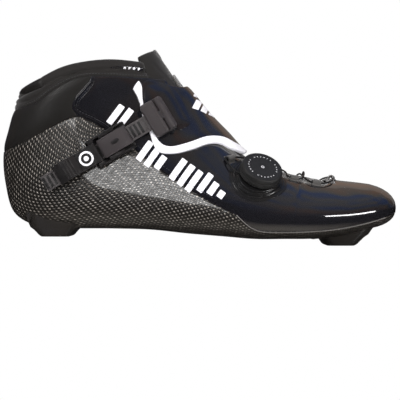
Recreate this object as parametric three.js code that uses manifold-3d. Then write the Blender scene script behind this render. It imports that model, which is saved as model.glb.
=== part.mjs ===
// Inline speed skating boot, right foot, without frame or wheels.
// Millimetres. +X points to the toe, +Z up, -Y is the outer (lateral) side of the foot.
// The origin is under the middle of the boot's box, at the height of the forefoot block's face.
import * as THREE from "three";
import { ParametricGeometry } from "three/addons/geometries/ParametricGeometry.js";
import { mergeVertices } from "three/addons/utils/BufferGeometryUtils.js";
import Module from "manifold-3d";

const wasm = await Module();
wasm.setup();

// ---------------------------------------------------------------- driving dimensions

const GAP = 0.3; // between pieces that touch
const WALL = 1.8; // moulded shell, and the upper's skin
const SOLE_EXTRA = 3.2; // what the shell gains under the foot
const LINING = 2.6; // padded inner boot
const COLLAR = 7; // soft roll round the ankle
const TONGUE = 4; // tongue thickness
const STRAP = 2.5; // instep strap thickness
const PAD = 3; // ankle pad thickness

const CENTRE_Y = 3.4; // the frame bolts' plane, sideways of the middle of the boot's box
const BOLT_SPACING = 195; // between the two frame bolts
const HEEL_BOLT_X = -98.5;
const FORE_BOLT_X = HEEL_BOLT_X + BOLT_SPACING;
const HEEL_BLOCK_Z = 6.2; // the heel block's face, above the forefoot block's
const BLOCK_WIDTH = 44;
const BLOCK_FACE = 20.6; // length of each block's flat face
const INSERT = { long: 36, wide: 15, high: 6.4, lip: 2, mouth: 7.2, slot: 11.8, roof: 1 };
const NUT = { long: 13, wide: 11, high: 2.8, bore: 2.5 };
const NUT_TRAVEL = 6; // each way from the middle

const DIAL = { x: 39, z: 45, axis: new THREE.Vector3(0.26, -0.66, 0.7), flange: 19.4, step: 16.6 };
const HOUSING = { wall: 12, thick: 1.2, floor: 3.1, top: 7 };
const BUCKLE_SCREW = { x: -5, seat: 4.3, depth: 1.1, hole: 2.3 }; // in the buckle's own frame
const ANCHOR = { x: -29, z: 47.5 }; // middle of the strap's plate on the medial side
const KNOB = { radius: 14.3, skirt: 4.6, cavityTop: 9.4, top: 11.8 };
const LACE_RADIUS = 0.6;

const BUCKLE = { x: -57.4, z: 68.8, slope: 31 }; // middle of the release tab, and the strap's slope
const BUCKLE_WIDTH = 19.6;
const CHEEK = 1.2; // thickness of the frame's side walls
const LADDER = { width: 11.2, low: 2.6, band: 1.2, tooth: 0.8, pitch: 3.2, tail: -54, front: 30, end: 5 };

// ---------------------------------------------------------------- the boot's surface

// Each station is a cut across the boot. top and sole are its ends on the front and under side,
// lateral and medial its half widths, ridge the sideways place of its top, waist the height of
// its widest level (a share of the cut), low and high how square its lower and upper halves are.
const station = (top, sole, lateral, medial, ridge, waist, low, high) => ({
  top, sole, lateral, medial, ridge, waist, low, high,
});
const STATIONS = [
  station([118, 41.7], [118, 11.4], 33, 38, 8, 0.42, 2.7, 1.9),
  station([98, 44.4], [98, 6.4], 43, 44, 10, 0.4, 2.9, 1.75),
  station([78, 48], [78, 4.3], 48.5, 46, 10, 0.38, 3, 1.7),
  station([60, 51.6], [58, 4.1], 50, 45, 9, 0.37, 3, 1.8),
  station([44, 56.6], [38, 4.1], 49, 43.5, 8, 0.37, 3, 1.85),
  station([30, 64.6], [16, 5.9], 46.5, 41, 7, 0.37, 3, 1.9),
  station([18.5, 75.8], [-8, 7.9], 42.5, 38, 5, 0.38, 3, 1.95),
  station([8, 87.2], [-34, 10.6], 38.5, 35, 3, 0.39, 3, 2),
  station([-2.5, 99], [-62, 11.4], 35.5, 33.5, 1.5, 0.4, 3, 2.1),
  station([-11, 109.6], [-89, 11.6], 34, 33, 0.5, 0.42, 2.9, 2.2),
  station([-17.5, 118.6], [-112, 13.2], 33.5, 33, 0, 0.45, 2.6, 2.2),
  station([-22.5, 126.4], [-128.2, 22.5], 33.5, 33, 0, 0.48, 2.35, 2.2),
  station([-26, 132.4], [-134.2, 42], 34, 33.5, 0, 0.5, 2.25, 2.2),
  station([-29, 138], [-135.7, 62], 34.5, 34, 0, 0.5, 2.2, 2.2),
  station([-32, 143], [-131.8, 80], 34.5, 34, 0, 0.5, 2.2, 2.2),
  station([-35, 147.5], [-127.4, 96], 34, 33.5, 0, 0.5, 2.2, 2.2),
  station([-38, 151], [-123.6, 110], 34, 33.5, 0, 0.5, 2.2, 2.2),
  station([-41, 154], [-120.5, 124], 34, 33.5, 0, 0.5, 2.2, 2.2),
];
const TOE_CAP = { length: 17.9, drop: 1.6, round: 0.8 };
const CAP_ROWS = 4;
const BODY_ROWS = 21;
const AROUND = 24;

function catmullRom(a, b, c, d, t) {
  const linear = c - a;
  const square = 2 * a - 5 * b + 4 * c - d;
  const cube = 3 * b - a - 3 * c + d;
  return b + 0.5 * t * (linear + t * (square + t * cube));
}

// The station between the listed ones, at a fractional index.
function stationAt(index) {
  const last = STATIONS.length - 1;
  const at = Math.min(Math.max(index, 0), last);
  const i = Math.min(Math.floor(at), last - 1);
  const near = [i - 1, i, i + 1, i + 2].map((k) => STATIONS[Math.min(Math.max(k, 0), last)]);
  const mix = (pick) => catmullRom(...near.map(pick), at - i);
  return {
    top: [mix((s) => s.top[0]), mix((s) => s.top[1])],
    sole: [mix((s) => s.sole[0]), mix((s) => s.sole[1])],
    lateral: mix((s) => s.lateral),
    medial: mix((s) => s.medial),
    ridge: mix((s) => s.ridge),
    waist: mix((s) => s.waist),
    low: mix((s) => s.low),
    high: mix((s) => s.high),
  };
}

// A point of the cut: turn 0 is the middle of the sole, a quarter the lateral side, a half the top.
function cutPoint(index, turn) {
  const s = stationAt(index);
  const side = Math.sin(2 * Math.PI * turn);
  const rise = -Math.cos(2 * Math.PI * turn);
  const power = 2 / (rise < 0 ? s.low : s.high);
  const reach = side > 0 ? s.lateral + s.ridge : s.medial - s.ridge;
  const lift = Math.abs(rise) ** power;
  const share = rise < 0 ? s.waist * (1 - lift) : s.waist + (1 - s.waist) * lift;
  return new THREE.Vector3(
    s.sole[0] + (s.top[0] - s.sole[0]) * share,
    s.ridge - Math.sign(side) * reach * Math.abs(side) ** power,
    s.sole[1] + (s.top[1] - s.sole[1]) * share,
  );
}

// The whole surface: along from -1 (tip of the toe) to 0 is the toe cap, then one per station.
function surfacePoint(along, turn) {
  if (along >= 0) return cutPoint(along, turn);
  const edge = cutPoint(0, turn);
  const next = cutPoint(0.05, turn);
  const middle = cutPoint(0, 0).add(cutPoint(0, 0.5)).multiplyScalar(0.5);
  const angle = ((1 + along) * Math.PI) / 2;
  const forward = Math.max(Math.cos(angle), 0) ** TOE_CAP.round;
  const size = Math.sin(angle) ** TOE_CAP.round;
  const run = (TOE_CAP.length * forward * size) / (edge.x - next.x);
  return new THREE.Vector3(
    middle.x + TOE_CAP.length * forward,
    middle.y + (edge.y - middle.y) * size + (edge.y - next.y) * run,
    middle.z + (edge.z - middle.z) * size + (edge.z - next.z) * run - TOE_CAP.drop * forward,
  );
}

function surfaceNormal(along, turn) {
  const step = 0.002;
  const at = Math.min(Math.max(along, -0.985), STATIONS.length - 1 - step);
  const ahead = surfacePoint(at + step, turn).sub(surfacePoint(at - step, turn));
  const across = surfacePoint(at, turn + step).sub(surfacePoint(at, turn - step));
  return across.cross(ahead).normalize();
}

// How thick the wall is where the surface faces this way: thicker under the foot.
function wallAt(normal) {
  return WALL + SOLE_EXTRA * THREE.MathUtils.smoothstep(-normal.z, 0.5, 0.95);
}

// A point pushed out of the surface (out > 0) or into the boot.
function offsetPoint(along, turn, out) {
  return surfacePoint(along, turn).addScaledVector(surfaceNormal(along, turn), out);
}

// The surface point whose two named coordinates are given, near a first guess.
function findOnSurface(wanted, guess) {
  let [along, turn] = guess;
  const axes = Object.keys(wanted);
  const miss = (a, t) => {
    const p = surfacePoint(a, t);
    return axes.map((axis) => p[axis] - wanted[axis]);
  };
  const step = 1e-4;
  for (let i = 0; i < 30; i++) {
    const [e, f] = miss(along, turn);
    const [ea, fa] = miss(along + step, turn);
    const [et, ft] = miss(along, turn + step);
    const [a, b, c, d] = [(ea - e) / step, (et - e) / step, (fa - f) / step, (ft - f) / step];
    const det = a * d - b * c;
    along -= THREE.MathUtils.clamp((d * e - b * f) / det, -1, 1);
    turn -= THREE.MathUtils.clamp((a * f - c * e) / det, -0.05, 0.05);
  }
  return { along, turn, point: surfacePoint(along, turn), normal: surfaceNormal(along, turn) };
}

// ---------------------------------------------------------------- solids

function solidOf(geometry) {
  const plain = geometry.clone();
  plain.deleteAttribute("normal");
  plain.deleteAttribute("uv");
  const merged = mergeVertices(plain, 1e-4);
  return new wasm.Manifold(
    new wasm.Mesh({
      numProp: 3,
      vertProperties: merged.attributes.position.array,
      triVerts: new Uint32Array(merged.index.array),
    }),
  );
}

function geometryOf(solid) {
  const mesh = solid.getMesh();
  const geometry = new THREE.BufferGeometry();
  geometry.setAttribute("position", new THREE.BufferAttribute(mesh.vertProperties, 3));
  geometry.setIndex(new THREE.BufferAttribute(mesh.triVerts, 1));
  const flat = geometry.toNonIndexed();
  flat.computeVertexNormals();
  return flat;
}

function join(...solids) {
  return solids.reduce((a, b) => a.add(b));
}

function cut(solid, ...tools) {
  return tools.reduce((a, b) => a.subtract(b), solid);
}

// The whole boot as one closed body, its surface moved out by out(normal).
function bootBody(out) {
  const rows = CAP_ROWS + BODY_ROWS;
  const perRow = (STATIONS.length - 1) / BODY_ROWS;
  const alongOf = (row) => (row <= CAP_ROWS ? row / CAP_ROWS - 1 : (row - CAP_ROWS) * perRow);
  const tip = offsetPoint(-1, 0.25, out(new THREE.Vector3(1, 0, 0)));
  const shape = (u, v, target) => {
    const row = Math.round(v * (rows + 1));
    const along = alongOf(Math.min(row, rows));
    if (row === 0) {
      target.copy(tip);
    } else if (row > rows) {
      target.copy(surfacePoint(along, 0)).add(surfacePoint(along, 0.5)).multiplyScalar(0.5);
    } else {
      const turn = u % 1;
      const normal = surfaceNormal(along, turn);
      target.copy(surfacePoint(along, turn)).addScaledVector(normal, out(normal));
    }
  };
  return solidOf(new ParametricGeometry(shape, AROUND, rows + 1));
}

// The layer of the boot between two levels; positive is outside the surface.
function bootLayer(outer, inner) {
  return bootBody(outer).subtract(bootBody(inner));
}

const level = (out) => () => out;

// A side outline in X and Z, drawn through points, swept across the boot from y0 to y1.
function sidePrism(points, y0, y1) {
  const shape = new THREE.Shape(points.map(([x, z]) => new THREE.Vector2(x, z)));
  const geometry = new THREE.ExtrudeGeometry(shape, { depth: y1 - y0, bevelEnabled: false });
  geometry.rotateX(Math.PI / 2);
  geometry.translate(0, y1, 0);
  return solidOf(geometry);
}

// A plan outline in X and Y, from z0 up to z1.
function planPrism(points, z0, z1) {
  const shape = new THREE.Shape(points.map(([x, y]) => new THREE.Vector2(x, y)));
  const geometry = new THREE.ExtrudeGeometry(shape, { depth: z1 - z0, bevelEnabled: false });
  geometry.translate(0, 0, z0);
  return solidOf(geometry);
}

// Points of a smooth line through a few given ones.
function smooth(points, count) {
  const curve = new THREE.SplineCurve(points.map(([x, y]) => new THREE.Vector2(x, y)));
  return curve.getPoints(count).map((p) => [p.x, p.y]);
}

// A frame at a surface point: out along the normal, length along the given direction.
function frameAt(point, out, direction) {
  const z = out.clone().normalize();
  const x = direction.clone().addScaledVector(z, -direction.dot(z)).normalize();
  const y = z.clone().cross(x);
  return new THREE.Matrix4().makeBasis(x, y, z).setPosition(point);
}

function box(x0, x1, y0, y1, z0, z1) {
  const geometry = new THREE.BoxGeometry(x1 - x0, y1 - y0, z1 - z0);
  geometry.translate((x0 + x1) / 2, (y0 + y1) / 2, (z0 + z1) / 2);
  return solidOf(geometry);
}

// A round bar along Z between two heights.
function post(radius, z0, z1, sides = 24, x = 0, y = 0) {
  const geometry = new THREE.CylinderGeometry(radius, radius, z1 - z0, sides);
  geometry.rotateX(Math.PI / 2);
  geometry.translate(x, y, (z0 + z1) / 2);
  return solidOf(geometry);
}

// A round bar along Y (across a buckle), at a place in X and Z.
function crossBar(radius, x, z, y0, y1, sides = 16) {
  const geometry = new THREE.CylinderGeometry(radius, radius, y1 - y0, sides);
  geometry.translate(x, (y0 + y1) / 2, z);
  return solidOf(geometry);
}

// A body turned round Z from a closed outline of radius and height.
function turned(outline, sides = 32) {
  const points = outline.map(([r, z]) => new THREE.Vector2(r, z));
  const geometry = new THREE.LatheGeometry(points, sides);
  geometry.rotateX(Math.PI / 2);
  return solidOf(geometry);
}

// A side outline in X and Z swept across Y, in a piece's own frame.
function crossProfile(points, halfWidth) {
  return sidePrism(points, -halfWidth, halfWidth);
}

// A small coil spring round a bar along Y.
function coil(x, z, radius, wire, y0, y1, turns) {
  const points = [];
  const steps = turns * 6;
  for (let i = 0; i <= steps; i++) {
    const angle = (i / 6) * 2 * Math.PI;
    const y = y0 + ((y1 - y0) * i) / steps;
    points.push(new THREE.Vector3(x + radius * Math.cos(angle), y, z + radius * Math.sin(angle)));
  }
  return tube(points, wire, steps, 5);
}

function tube(points, radius, steps, sides) {
  const path = new THREE.CatmullRomCurve3(points, false, "centripetal");
  const ring = new THREE.Shape();
  for (let i = 0; i < sides; i++) {
    const angle = (i / sides) * 2 * Math.PI;
    ring[i ? "lineTo" : "moveTo"](radius * Math.cos(angle), radius * Math.sin(angle));
  }
  return solidOf(new THREE.ExtrudeGeometry(ring, { steps, bevelEnabled: false, extrudePath: path }));
}

// ---------------------------------------------------------------- the lines that divide the boot

// Upper edge of the carbon shell: heel cup, ankle peak, then the low tray round the forefoot.
const SHELL_EDGE = [
  ...smooth(
    [[-150, 60.5], [-135.3, 64.3], [-120.3, 69.4], [-102.7, 78.3], [-88.6, 85.3], [-81.5, 87.1]],
    8,
  ),
  ...smooth(
    [[-76.2, 85.3], [-64.7, 79.1], [-56.4, 72.6], [-44.6, 65.7], [-27.3, 51.9], [-6.6, 38], [10.7, 27.7]],
    8,
  ),
  ...smooth(
    [[24.5, 20.7], [36, 11.4], [50, 9.5], [68, 9.8], [86, 10.9], [105, 13.8], [124, 18.6], [150, 27]],
    9,
  ),
];
const COLLAR_SEAM = smooth(
  [
    [-150, 90], [-128.3, 92.4], [-111.5, 95.9], [-98.3, 104.7],
    [-80.6, 113], [-60, 114], [-24, 113], [0, 112],
  ],
  10,
);
const RIM = smooth(
  [
    [-150, 99], [-123.4, 109.6], [-108.9, 115], [-92.3, 121.8],
    [-75.7, 125.6], [-60, 127], [-41, 126.4], [-10, 124],
  ],
  11,
);
const QUARTER_REAR = [
  [-72.7, 114], [-72.9, 111.7], [-79, 104.5], [-83.3, 99.4], [-85.1, 92.4], [-81.4, 87], [-70, 60],
];
const VAMP_SEAM = [[72, 170], [70, 60], [58, 0], [58, -20]];
const CEILING = 170;
const FLOOR = -20;
const SIDE = 80;

const raise = (line, dz) => line.map(([x, z]) => [x, z + dz]);
const shiftX = (line, dx) => line.map(([x, z]) => [x + dx, z]);
const under = (line) => sidePrism([...line, [line.at(-1)[0], FLOOR], [line[0][0], FLOOR]], -SIDE, SIDE);
const over = (line) => sidePrism([...line, [line.at(-1)[0], CEILING], [line[0][0], CEILING]], -SIDE, SIDE);
const behind = (line) => sidePrism([...line, [-170, line.at(-1)[1]], [-170, line[0][1]]], -SIDE, SIDE);
const lateralHalf = box(-170, 170, -SIDE, -GAP / 2, FLOOR, CEILING);
const medialHalf = box(-170, 170, GAP / 2, SIDE, FLOOR, CEILING);

// The throat: the opening over the instep that the tongue fills, seen from above.
function throat(grow) {
  const lateral = smooth([[88, -8], [84, -18], [70, -19], [44, -18], [10, -18], [-24, -17], [-60, -16]], 9);
  const medial = smooth([[-60, 16], [-24, 17], [10, 20], [44, 24], [70, 26], [84, 26], [88, 16]], 9);
  const middle = (x) => THREE.MathUtils.lerp(0, 4, THREE.MathUtils.smoothstep(x, -24, 60));
  const outline = [...lateral, ...medial].map(([x, y]) => [
    x > 80 ? x + grow : x,
    y + Math.sign(y - middle(x)) * grow,
  ]);
  return cut(planPrism(outline, 26, CEILING), behind([[-50, CEILING], [-50, 26]]));
}

// ---------------------------------------------------------------- the model

const boot = new THREE.Group();
boot.name = "speed_skating_boot";
boot.position.y = CENTRE_Y;

const LOOKS = {
  carbon: { color: 0x24211f, roughness: 0.28, metalness: 0.1 },
  patent: { color: 0x0c0c0e, roughness: 0.08, metalness: 0 },
  satin: { color: 0x161514, roughness: 0.5, metalness: 0 },
  padding: { color: 0x232120, roughness: 0.85, metalness: 0 },
  webbing: { color: 0x55524e, roughness: 0.9, metalness: 0 },
  white: { color: 0xe9e8ee, roughness: 0.35, metalness: 0 },
  plastic: { color: 0x2c2a2b, roughness: 0.45, metalness: 0 },
  ladder: { color: 0x1b1a1b, roughness: 0.5, metalness: 0 },
  steel: { color: 0xa8a8aa, roughness: 0.3, metalness: 1 },
  aluminium: { color: 0xb9bbbd, roughness: 0.35, metalness: 1 },
  lace: { color: 0x151515, roughness: 0.6, metalness: 0 },
};

function addPiece(parent, name, solid, look) {
  const mesh = new THREE.Mesh(geometryOf(solid), new THREE.MeshStandardMaterial(LOOKS[look]));
  mesh.name = name;
  parent.add(mesh);
  return mesh;
}

// Moves a solid made in a piece's own frame to its place on the boot.
const placed = (solid, frame) => solid.transform(frame.elements);

// ---- frames of the fittings: buckle and dial on the lateral side, strap anchor on the medial side

const buckleSpot = findOnSurface({ x: BUCKLE.x, z: BUCKLE.z }, [8.5, 0.28]);
const slope = THREE.MathUtils.degToRad(BUCKLE.slope);
const buckleFrame = frameAt(
  buckleSpot.point,
  buckleSpot.normal,
  new THREE.Vector3(Math.cos(slope), 0, Math.sin(slope)),
);
const dialSpot = findOnSurface({ x: DIAL.x, z: DIAL.z }, [4.5, 0.35]);
const dialFrame = frameAt(dialSpot.point, DIAL.axis, new THREE.Vector3(1, 0, 0));
const anchorSpot = findOnSurface({ x: ANCHOR.x, z: ANCHOR.z }, [7, 0.72]);
const anchorFrame = frameAt(anchorSpot.point, anchorSpot.normal, new THREE.Vector3(1, 0, 0.5));

// ---- shell with its two mounting blocks

// A block with sloping ends, and corners rounded off in plan.
function mountBlock(boltX, faceZ, rearSlope, frontSlope, top) {
  const rear = boltX - BLOCK_FACE / 2;
  const front = boltX + BLOCK_FACE / 2;
  const mid = faceZ + (top - faceZ) * 0.5;
  const outline = [
    [rear - rearSlope, top], [rear - rearSlope * 0.57, mid], [rear, faceZ],
    [front, faceZ], [front + frontSlope * 0.5, mid], [front + frontSlope, top],
  ];
  const side = BLOCK_WIDTH / 2;
  const ends = [rear - rearSlope, front + frontSlope];
  const plan = [
    [ends[0], -side * 0.45], [rear - 1, -side], [front + 1, -side], [ends[1], -side * 0.7],
    [ends[1], side * 0.7], [front + 1, side], [rear - 1, side], [ends[0], side * 0.45],
  ];
  return sidePrism(outline, -side, side).intersect(planPrism(plan, FLOOR, CEILING));
}

function insertPocket(boltX, faceZ) {
  const x = INSERT.wide / 2 + GAP;
  const y = INSERT.long / 2 + GAP;
  return box(boltX - x, boltX + x, -y, y, faceZ - 1, faceZ + INSERT.high + GAP);
}

const buckleScrewHole = placed(post(BUCKLE_SCREW.hole, -8, 6, 16, BUCKLE_SCREW.x, 0), buckleFrame);

function makeShell() {
  const edge = under(raise(SHELL_EDGE, -GAP / 2));
  const wall = bootLayer(level(0), (normal) => -wallAt(normal)).intersect(edge);
  const heel = mountBlock(HEEL_BOLT_X, HEEL_BLOCK_Z, 9.6, 8.4, 14.2);
  const fore = mountBlock(FORE_BOLT_X, 0, 8.5, 12, 9.6);
  const body = join(wall, heel, fore);
  const pockets = [insertPocket(HEEL_BOLT_X, HEEL_BLOCK_Z), insertPocket(FORE_BOLT_X, 0)];
  return cut(body, ...pockets, buckleScrewHole, placed(post(2.3, -6, 6, 16), anchorFrame));
}

addPiece(boot, "carbon_shell", makeShell(), "carbon");

// ---- T-slot insert and sliding nut in each block

function makeInsert(boltX, faceZ) {
  const x = INSERT.wide / 2;
  const y = INSERT.long / 2;
  const slotTop = faceZ + INSERT.high - INSERT.roof;
  const slotEnd = NUT.long / 2 + NUT_TRAVEL + 1;
  const body = box(boltX - x, boltX + x, -y, y, faceZ, faceZ + INSERT.high);
  const opening = (wide, low) => box(boltX - wide / 2, boltX + wide / 2, -slotEnd, slotEnd, low, slotTop);
  const slot = opening(INSERT.slot, faceZ + INSERT.lip);
  const mouth = opening(INSERT.mouth, faceZ - 1);
  return cut(body, slot, mouth);
}

function makeNut(boltX, faceZ) {
  const low = faceZ + INSERT.lip + GAP;
  const x = NUT.wide / 2;
  const y = NUT.long / 2;
  const plate = box(boltX - x, boltX + x, -y, y, low, low + NUT.high);
  return cut(plate, post(NUT.bore, low - 1, low + NUT.high + 1, 20, boltX, 0));
}

addPiece(boot, "heel_mount_insert", makeInsert(HEEL_BOLT_X, HEEL_BLOCK_Z), "aluminium");
addPiece(boot, "heel_slide_nut", makeNut(HEEL_BOLT_X, HEEL_BLOCK_Z), "steel");
addPiece(boot, "forefoot_mount_insert", makeInsert(FORE_BOLT_X, 0), "aluminium");
addPiece(boot, "forefoot_slide_nut", makeNut(FORE_BOLT_X, 0), "steel");

// ---- inner boot

const liningOut = (normal) => -wallAt(normal) - GAP;
const liningIn = (normal) => liningOut(normal) - LINING;
const NUT_FLANGE = 1.2; // of the buckle's nut, between shell and lining

function makeLining() {
  const sock = bootLayer(liningOut, liningIn).intersect(under(raise(COLLAR_SEAM, -GAP)));
  const nutRoom = placed(post(5.6, -WALL - 3 * GAP - NUT_FLANGE, 0, 20, BUCKLE_SCREW.x, 0), buckleFrame);
  return cut(sock, throat(7), nutRoom);
}

function makeInsole() {
  const bed = smooth(
    [
      [-150, 27], [-118, 24.6], [-80, 23.4], [-30, 22], [10, 18.6],
      [50, 16.2], [90, 17.6], [118, 23.6], [140, 30],
    ],
    12,
  );
  const room = bootBody((normal) => liningIn(normal) - GAP);
  return room.intersect(under(bed)).intersect(box(-170, 170, -38, 38, FLOOR, 40));
}

function makeAnklePad(sign) {
  const ring = new THREE.EllipseCurve(-72, 88, 21, 15).getPoints(14).slice(1).map((p) => [p.x, p.y]);
  const patch = bootLayer((n) => liningIn(n) - GAP, (n) => liningIn(n) - GAP - PAD);
  return patch.intersect(sign < 0 ? sidePrism(ring, -SIDE, -8) : sidePrism(ring, 8, SIDE));
}

addPiece(boot, "lining", makeLining(), "padding");
addPiece(boot, "insole", makeInsole(), "satin");
addPiece(boot, "ankle_pad_lateral", makeAnklePad(-1), "padding");
addPiece(boot, "ankle_pad_medial", makeAnklePad(1), "padding");

// ---- upper

const skin = cut(
  bootLayer(level(0), level(-WALL)).intersect(over(raise(SHELL_EDGE, GAP / 2))),
  over(raise(COLLAR_SEAM, -GAP / 2)),
);
const EYESTAY = { width: 5, rear: 8 }; // webbing round the throat, from under the strap forward
const forward = (x) => box(x, 170, -SIDE, SIDE, FLOOR, CEILING);
const openSkin = cut(skin, throat(0), throat(EYESTAY.width + GAP).intersect(forward(EYESTAY.rear)));
const rearEdge = (dx) => behind(shiftX(QUARTER_REAR, dx));
const seamCut = (dx) => behind(shiftX(VAMP_SEAM, dx));
const quarters = cut(openSkin, rearEdge(GAP / 2)).intersect(seamCut(-GAP / 2));

const tapeArea = throat(EYESTAY.width).intersect(forward(EYESTAY.rear + GAP));
const eyestay = cut(skin.intersect(tapeArea), throat(0));

addPiece(boot, "eyestay", eyestay, "webbing");
addPiece(boot, "vamp", cut(openSkin, seamCut(GAP / 2)), "patent");
const dialScrewHole = placed(post(1.9, -8, 8, 12), dialFrame);
addPiece(boot, "quarter_lateral", cut(quarters.intersect(lateralHalf), dialScrewHole), "patent");
addPiece(boot, "quarter_medial", quarters.intersect(medialHalf), "patent");
addPiece(boot, "heel_panel", openSkin.intersect(rearEdge(-GAP / 2)), "satin");

// ---- collar

const insertArea = (grow) => sidePrism(
  [[-145, 102 - grow], [-122, 104.5 - grow], [-107 + grow, 108 - grow], [-108.5 + grow, 125], [-145, 125]],
  -SIDE,
  SIDE,
);
const tongueRoom = throat(6 + GAP).intersect(bootBody(level(-WALL)));
const collarBand = cut(
  bootLayer(level(0), level(-COLLAR)).intersect(under(RIM)).intersect(over(raise(COLLAR_SEAM, GAP / 2))),
  throat(0),
  tongueRoom,
);

addPiece(boot, "collar_padding", cut(collarBand, insertArea(GAP)), "padding");
addPiece(boot, "collar_back_insert", collarBand.intersect(insertArea(0)), "satin");

// ---- tongue

function makeTongue() {
  const top = [[-20, 150], [-27.5, 135.5], [-38, 129.5], [-70, 118]];
  return bootLayer(level(-WALL - GAP), level(-WALL - GAP - TONGUE))
    .intersect(throat(6))
    .intersect(under([[-170, 112], [-70, 112], ...top.slice().reverse(), [60, 150], [86, 150]]));
}

function makeTongueTab() {
  const area = sidePrism([[-20, 113], [-12, 124], [6, 108], [-2, 97]], -9, 9);
  return bootLayer(level(0), level(-WALL)).intersect(area);
}

addPiece(boot, "tongue", makeTongue(), "padding");
addPiece(boot, "tongue_tab", makeTongueTab(), "webbing");

// ---- instep strap, its white edge, and the plate that holds it on the medial side

const STRAP_LATERAL = [
  [4, 118], [-12, 107], [-27, 109.5], [-36, 111], [-39.6, 107], [-37, 88.5], [-27.5, 70.4],
  [-24, 67.4], [-16.9, 66.6], [-6, 69.4], [4, 72.9], [14, 73], [22, 69.6], [28.5, 66], [44, 80],
];
const STRAP_MEDIAL = [
  [4, 118], [-12, 105], [-24, 88], [-36, 66], [-42, 50], [-38, 43], [-30, 40], [-20, 42],
  [-10, 50], [2, 60], [14, 67], [22, 67.6], [28.5, 66], [44, 80],
];
const TRIM = [
  [-41.8, 110.8], [-40, 107.2], [-37.4, 88.4], [-27.9, 70.1], [-24.2, 67], [-16.9, 66.2], [-6, 69],
  [4, 72.5], [14, 72.6], [22, 69.2], [28.9, 65.6], [38.9, 74.6], [41.5, 72], [29.6, 62], [20.6, 65],
  [13.5, 68.5], [5, 68.4], [-4.8, 64.9], [-16.3, 62.2], [-26, 62.8], [-31, 67], [-40.4, 87.8], [-44, 107],
];
const strapArea = join(sidePrism(STRAP_LATERAL, -SIDE, 0.01), sidePrism(STRAP_MEDIAL, 0, SIDE));

function makeStrap() {
  const band = bootLayer(level(GAP + STRAP), level(GAP)).intersect(strapArea);
  return cut(band, placed(post(2.4, -2, 8, 16), anchorFrame));
}

function makeTrim() {
  return bootLayer(level(GAP + STRAP), level(GAP)).intersect(sidePrism(TRIM, -SIDE, 8));
}

function makeAnchorPlate() {
  const outline = new THREE.EllipseCurve(0, 0, 12, 8).getPoints(20).slice(1).map((p) => [p.x, p.y]);
  return placed(cut(planPrism(outline, STRAP + 2 * GAP, STRAP + 2.2), post(2.4, 0, 8, 16)), anchorFrame);
}

function makeAnchorScrew() {
  const head = STRAP + 2.2 + GAP;
  const outline = [[0, -1.2], [2, -1.2], [2, head], [4, head], [3.2, head + 1.4], [0, head + 1.4]];
  return placed(turned(outline, 16), anchorFrame);
}

addPiece(boot, "instep_strap", makeStrap(), "patent");
addPiece(boot, "strap_trim", makeTrim(), "white");
addPiece(boot, "strap_anchor_plate", makeAnchorPlate(), "plastic");
addPiece(boot, "strap_anchor_screw", makeAnchorScrew(), "steel");

// ---- lace dial

const SPOOL = { radius: 10.2, low: 3.5, high: 6.8, bore: 1.9, rim: 0.7 };
const HUB = { radius: 11.4, low: 7.4, high: 9 };

function makeDialBase() {
  const around = (radius) => placed(post(radius, -25, 12, 28), dialFrame);
  const flange = bootLayer(level(1.5), level(GAP)).intersect(around(DIAL.flange));
  const step = bootLayer(level(2.3), level(GAP)).intersect(around(DIAL.step));
  const inside = HOUSING.wall - HOUSING.thick;
  const drum = cut(post(HOUSING.wall, 0, HOUSING.top, 28), post(inside, HOUSING.floor, 12, 28));
  const standing = cut(placed(drum, dialFrame), bootBody(level(GAP)));
  return cut(join(flange, step, standing), dialScrewHole);
}

function makeKnob() {
  const outline = [
    [0, KNOB.cavityTop], [12.5, KNOB.cavityTop], [12.5, KNOB.skirt], [KNOB.radius, KNOB.skirt],
    [KNOB.radius, KNOB.top - 1.6], [KNOB.radius - 1.2, KNOB.top], [0, KNOB.top],
  ];
  return turned(outline, 28);
}

function makeSpool() {
  const waist = SPOOL.radius - 2.4;
  const outline = [
    [SPOOL.bore, SPOOL.low], [SPOOL.radius, SPOOL.low],
    [SPOOL.radius, SPOOL.low + SPOOL.rim], [waist, SPOOL.low + SPOOL.rim],
    [waist, SPOOL.high - SPOOL.rim], [SPOOL.radius, SPOOL.high - SPOOL.rim], [SPOOL.radius, SPOOL.high],
    [3.4, SPOOL.high], [3.4, 5.2], [SPOOL.bore, 5.2], [SPOOL.bore, SPOOL.low],
  ];
  return turned(outline, 20);
}

const dialGroup = new THREE.Group();
dialGroup.applyMatrix4(dialFrame);
boot.add(dialGroup);

addPiece(boot, "dial_base", makeDialBase(), "plastic");
addPiece(dialGroup, "dial_spool", makeSpool(), "plastic");
const hub = cut(post(HUB.radius, HUB.low, HUB.high, 24), post(SPOOL.bore, 0, 12, 12));
addPiece(dialGroup, "dial_hub", hub, "plastic");
addPiece(dialGroup, "dial_knob", makeKnob(), "plastic");
addPiece(
  dialGroup,
  "dial_screw",
  turned([[0, -WALL], [1.5, -WALL], [1.5, 5.5], [3, 5.5], [3, 6.6], [0, 6.6]], 16),
  "steel",
);

// ---- ratchet buckle, in its own frame: x along the ladder to the instep, y across, z out of the shell

const HALF = BUCKLE_WIDTH / 2;
const INNER = HALF - CHEEK; // half the room between the side walls
const BUCKLE_BASE = { low: 0.6, high: 2.2 };
const LEVER_AXIS = { x: -13, z: 6.9 };
const TAB_AXIS = { x: -1.5, z: 7.3 };
const PAWL_AXIS = { x: -18, z: 6.5 };
const PIN_RADIUS = 1;
const SMALL_PIN = 0.6;
const RUNNING = 0.15; // radial clearance of a pin in its hole

const buckleGroup = new THREE.Group();
buckleGroup.applyMatrix4(buckleFrame);
boot.add(buckleGroup);

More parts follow.
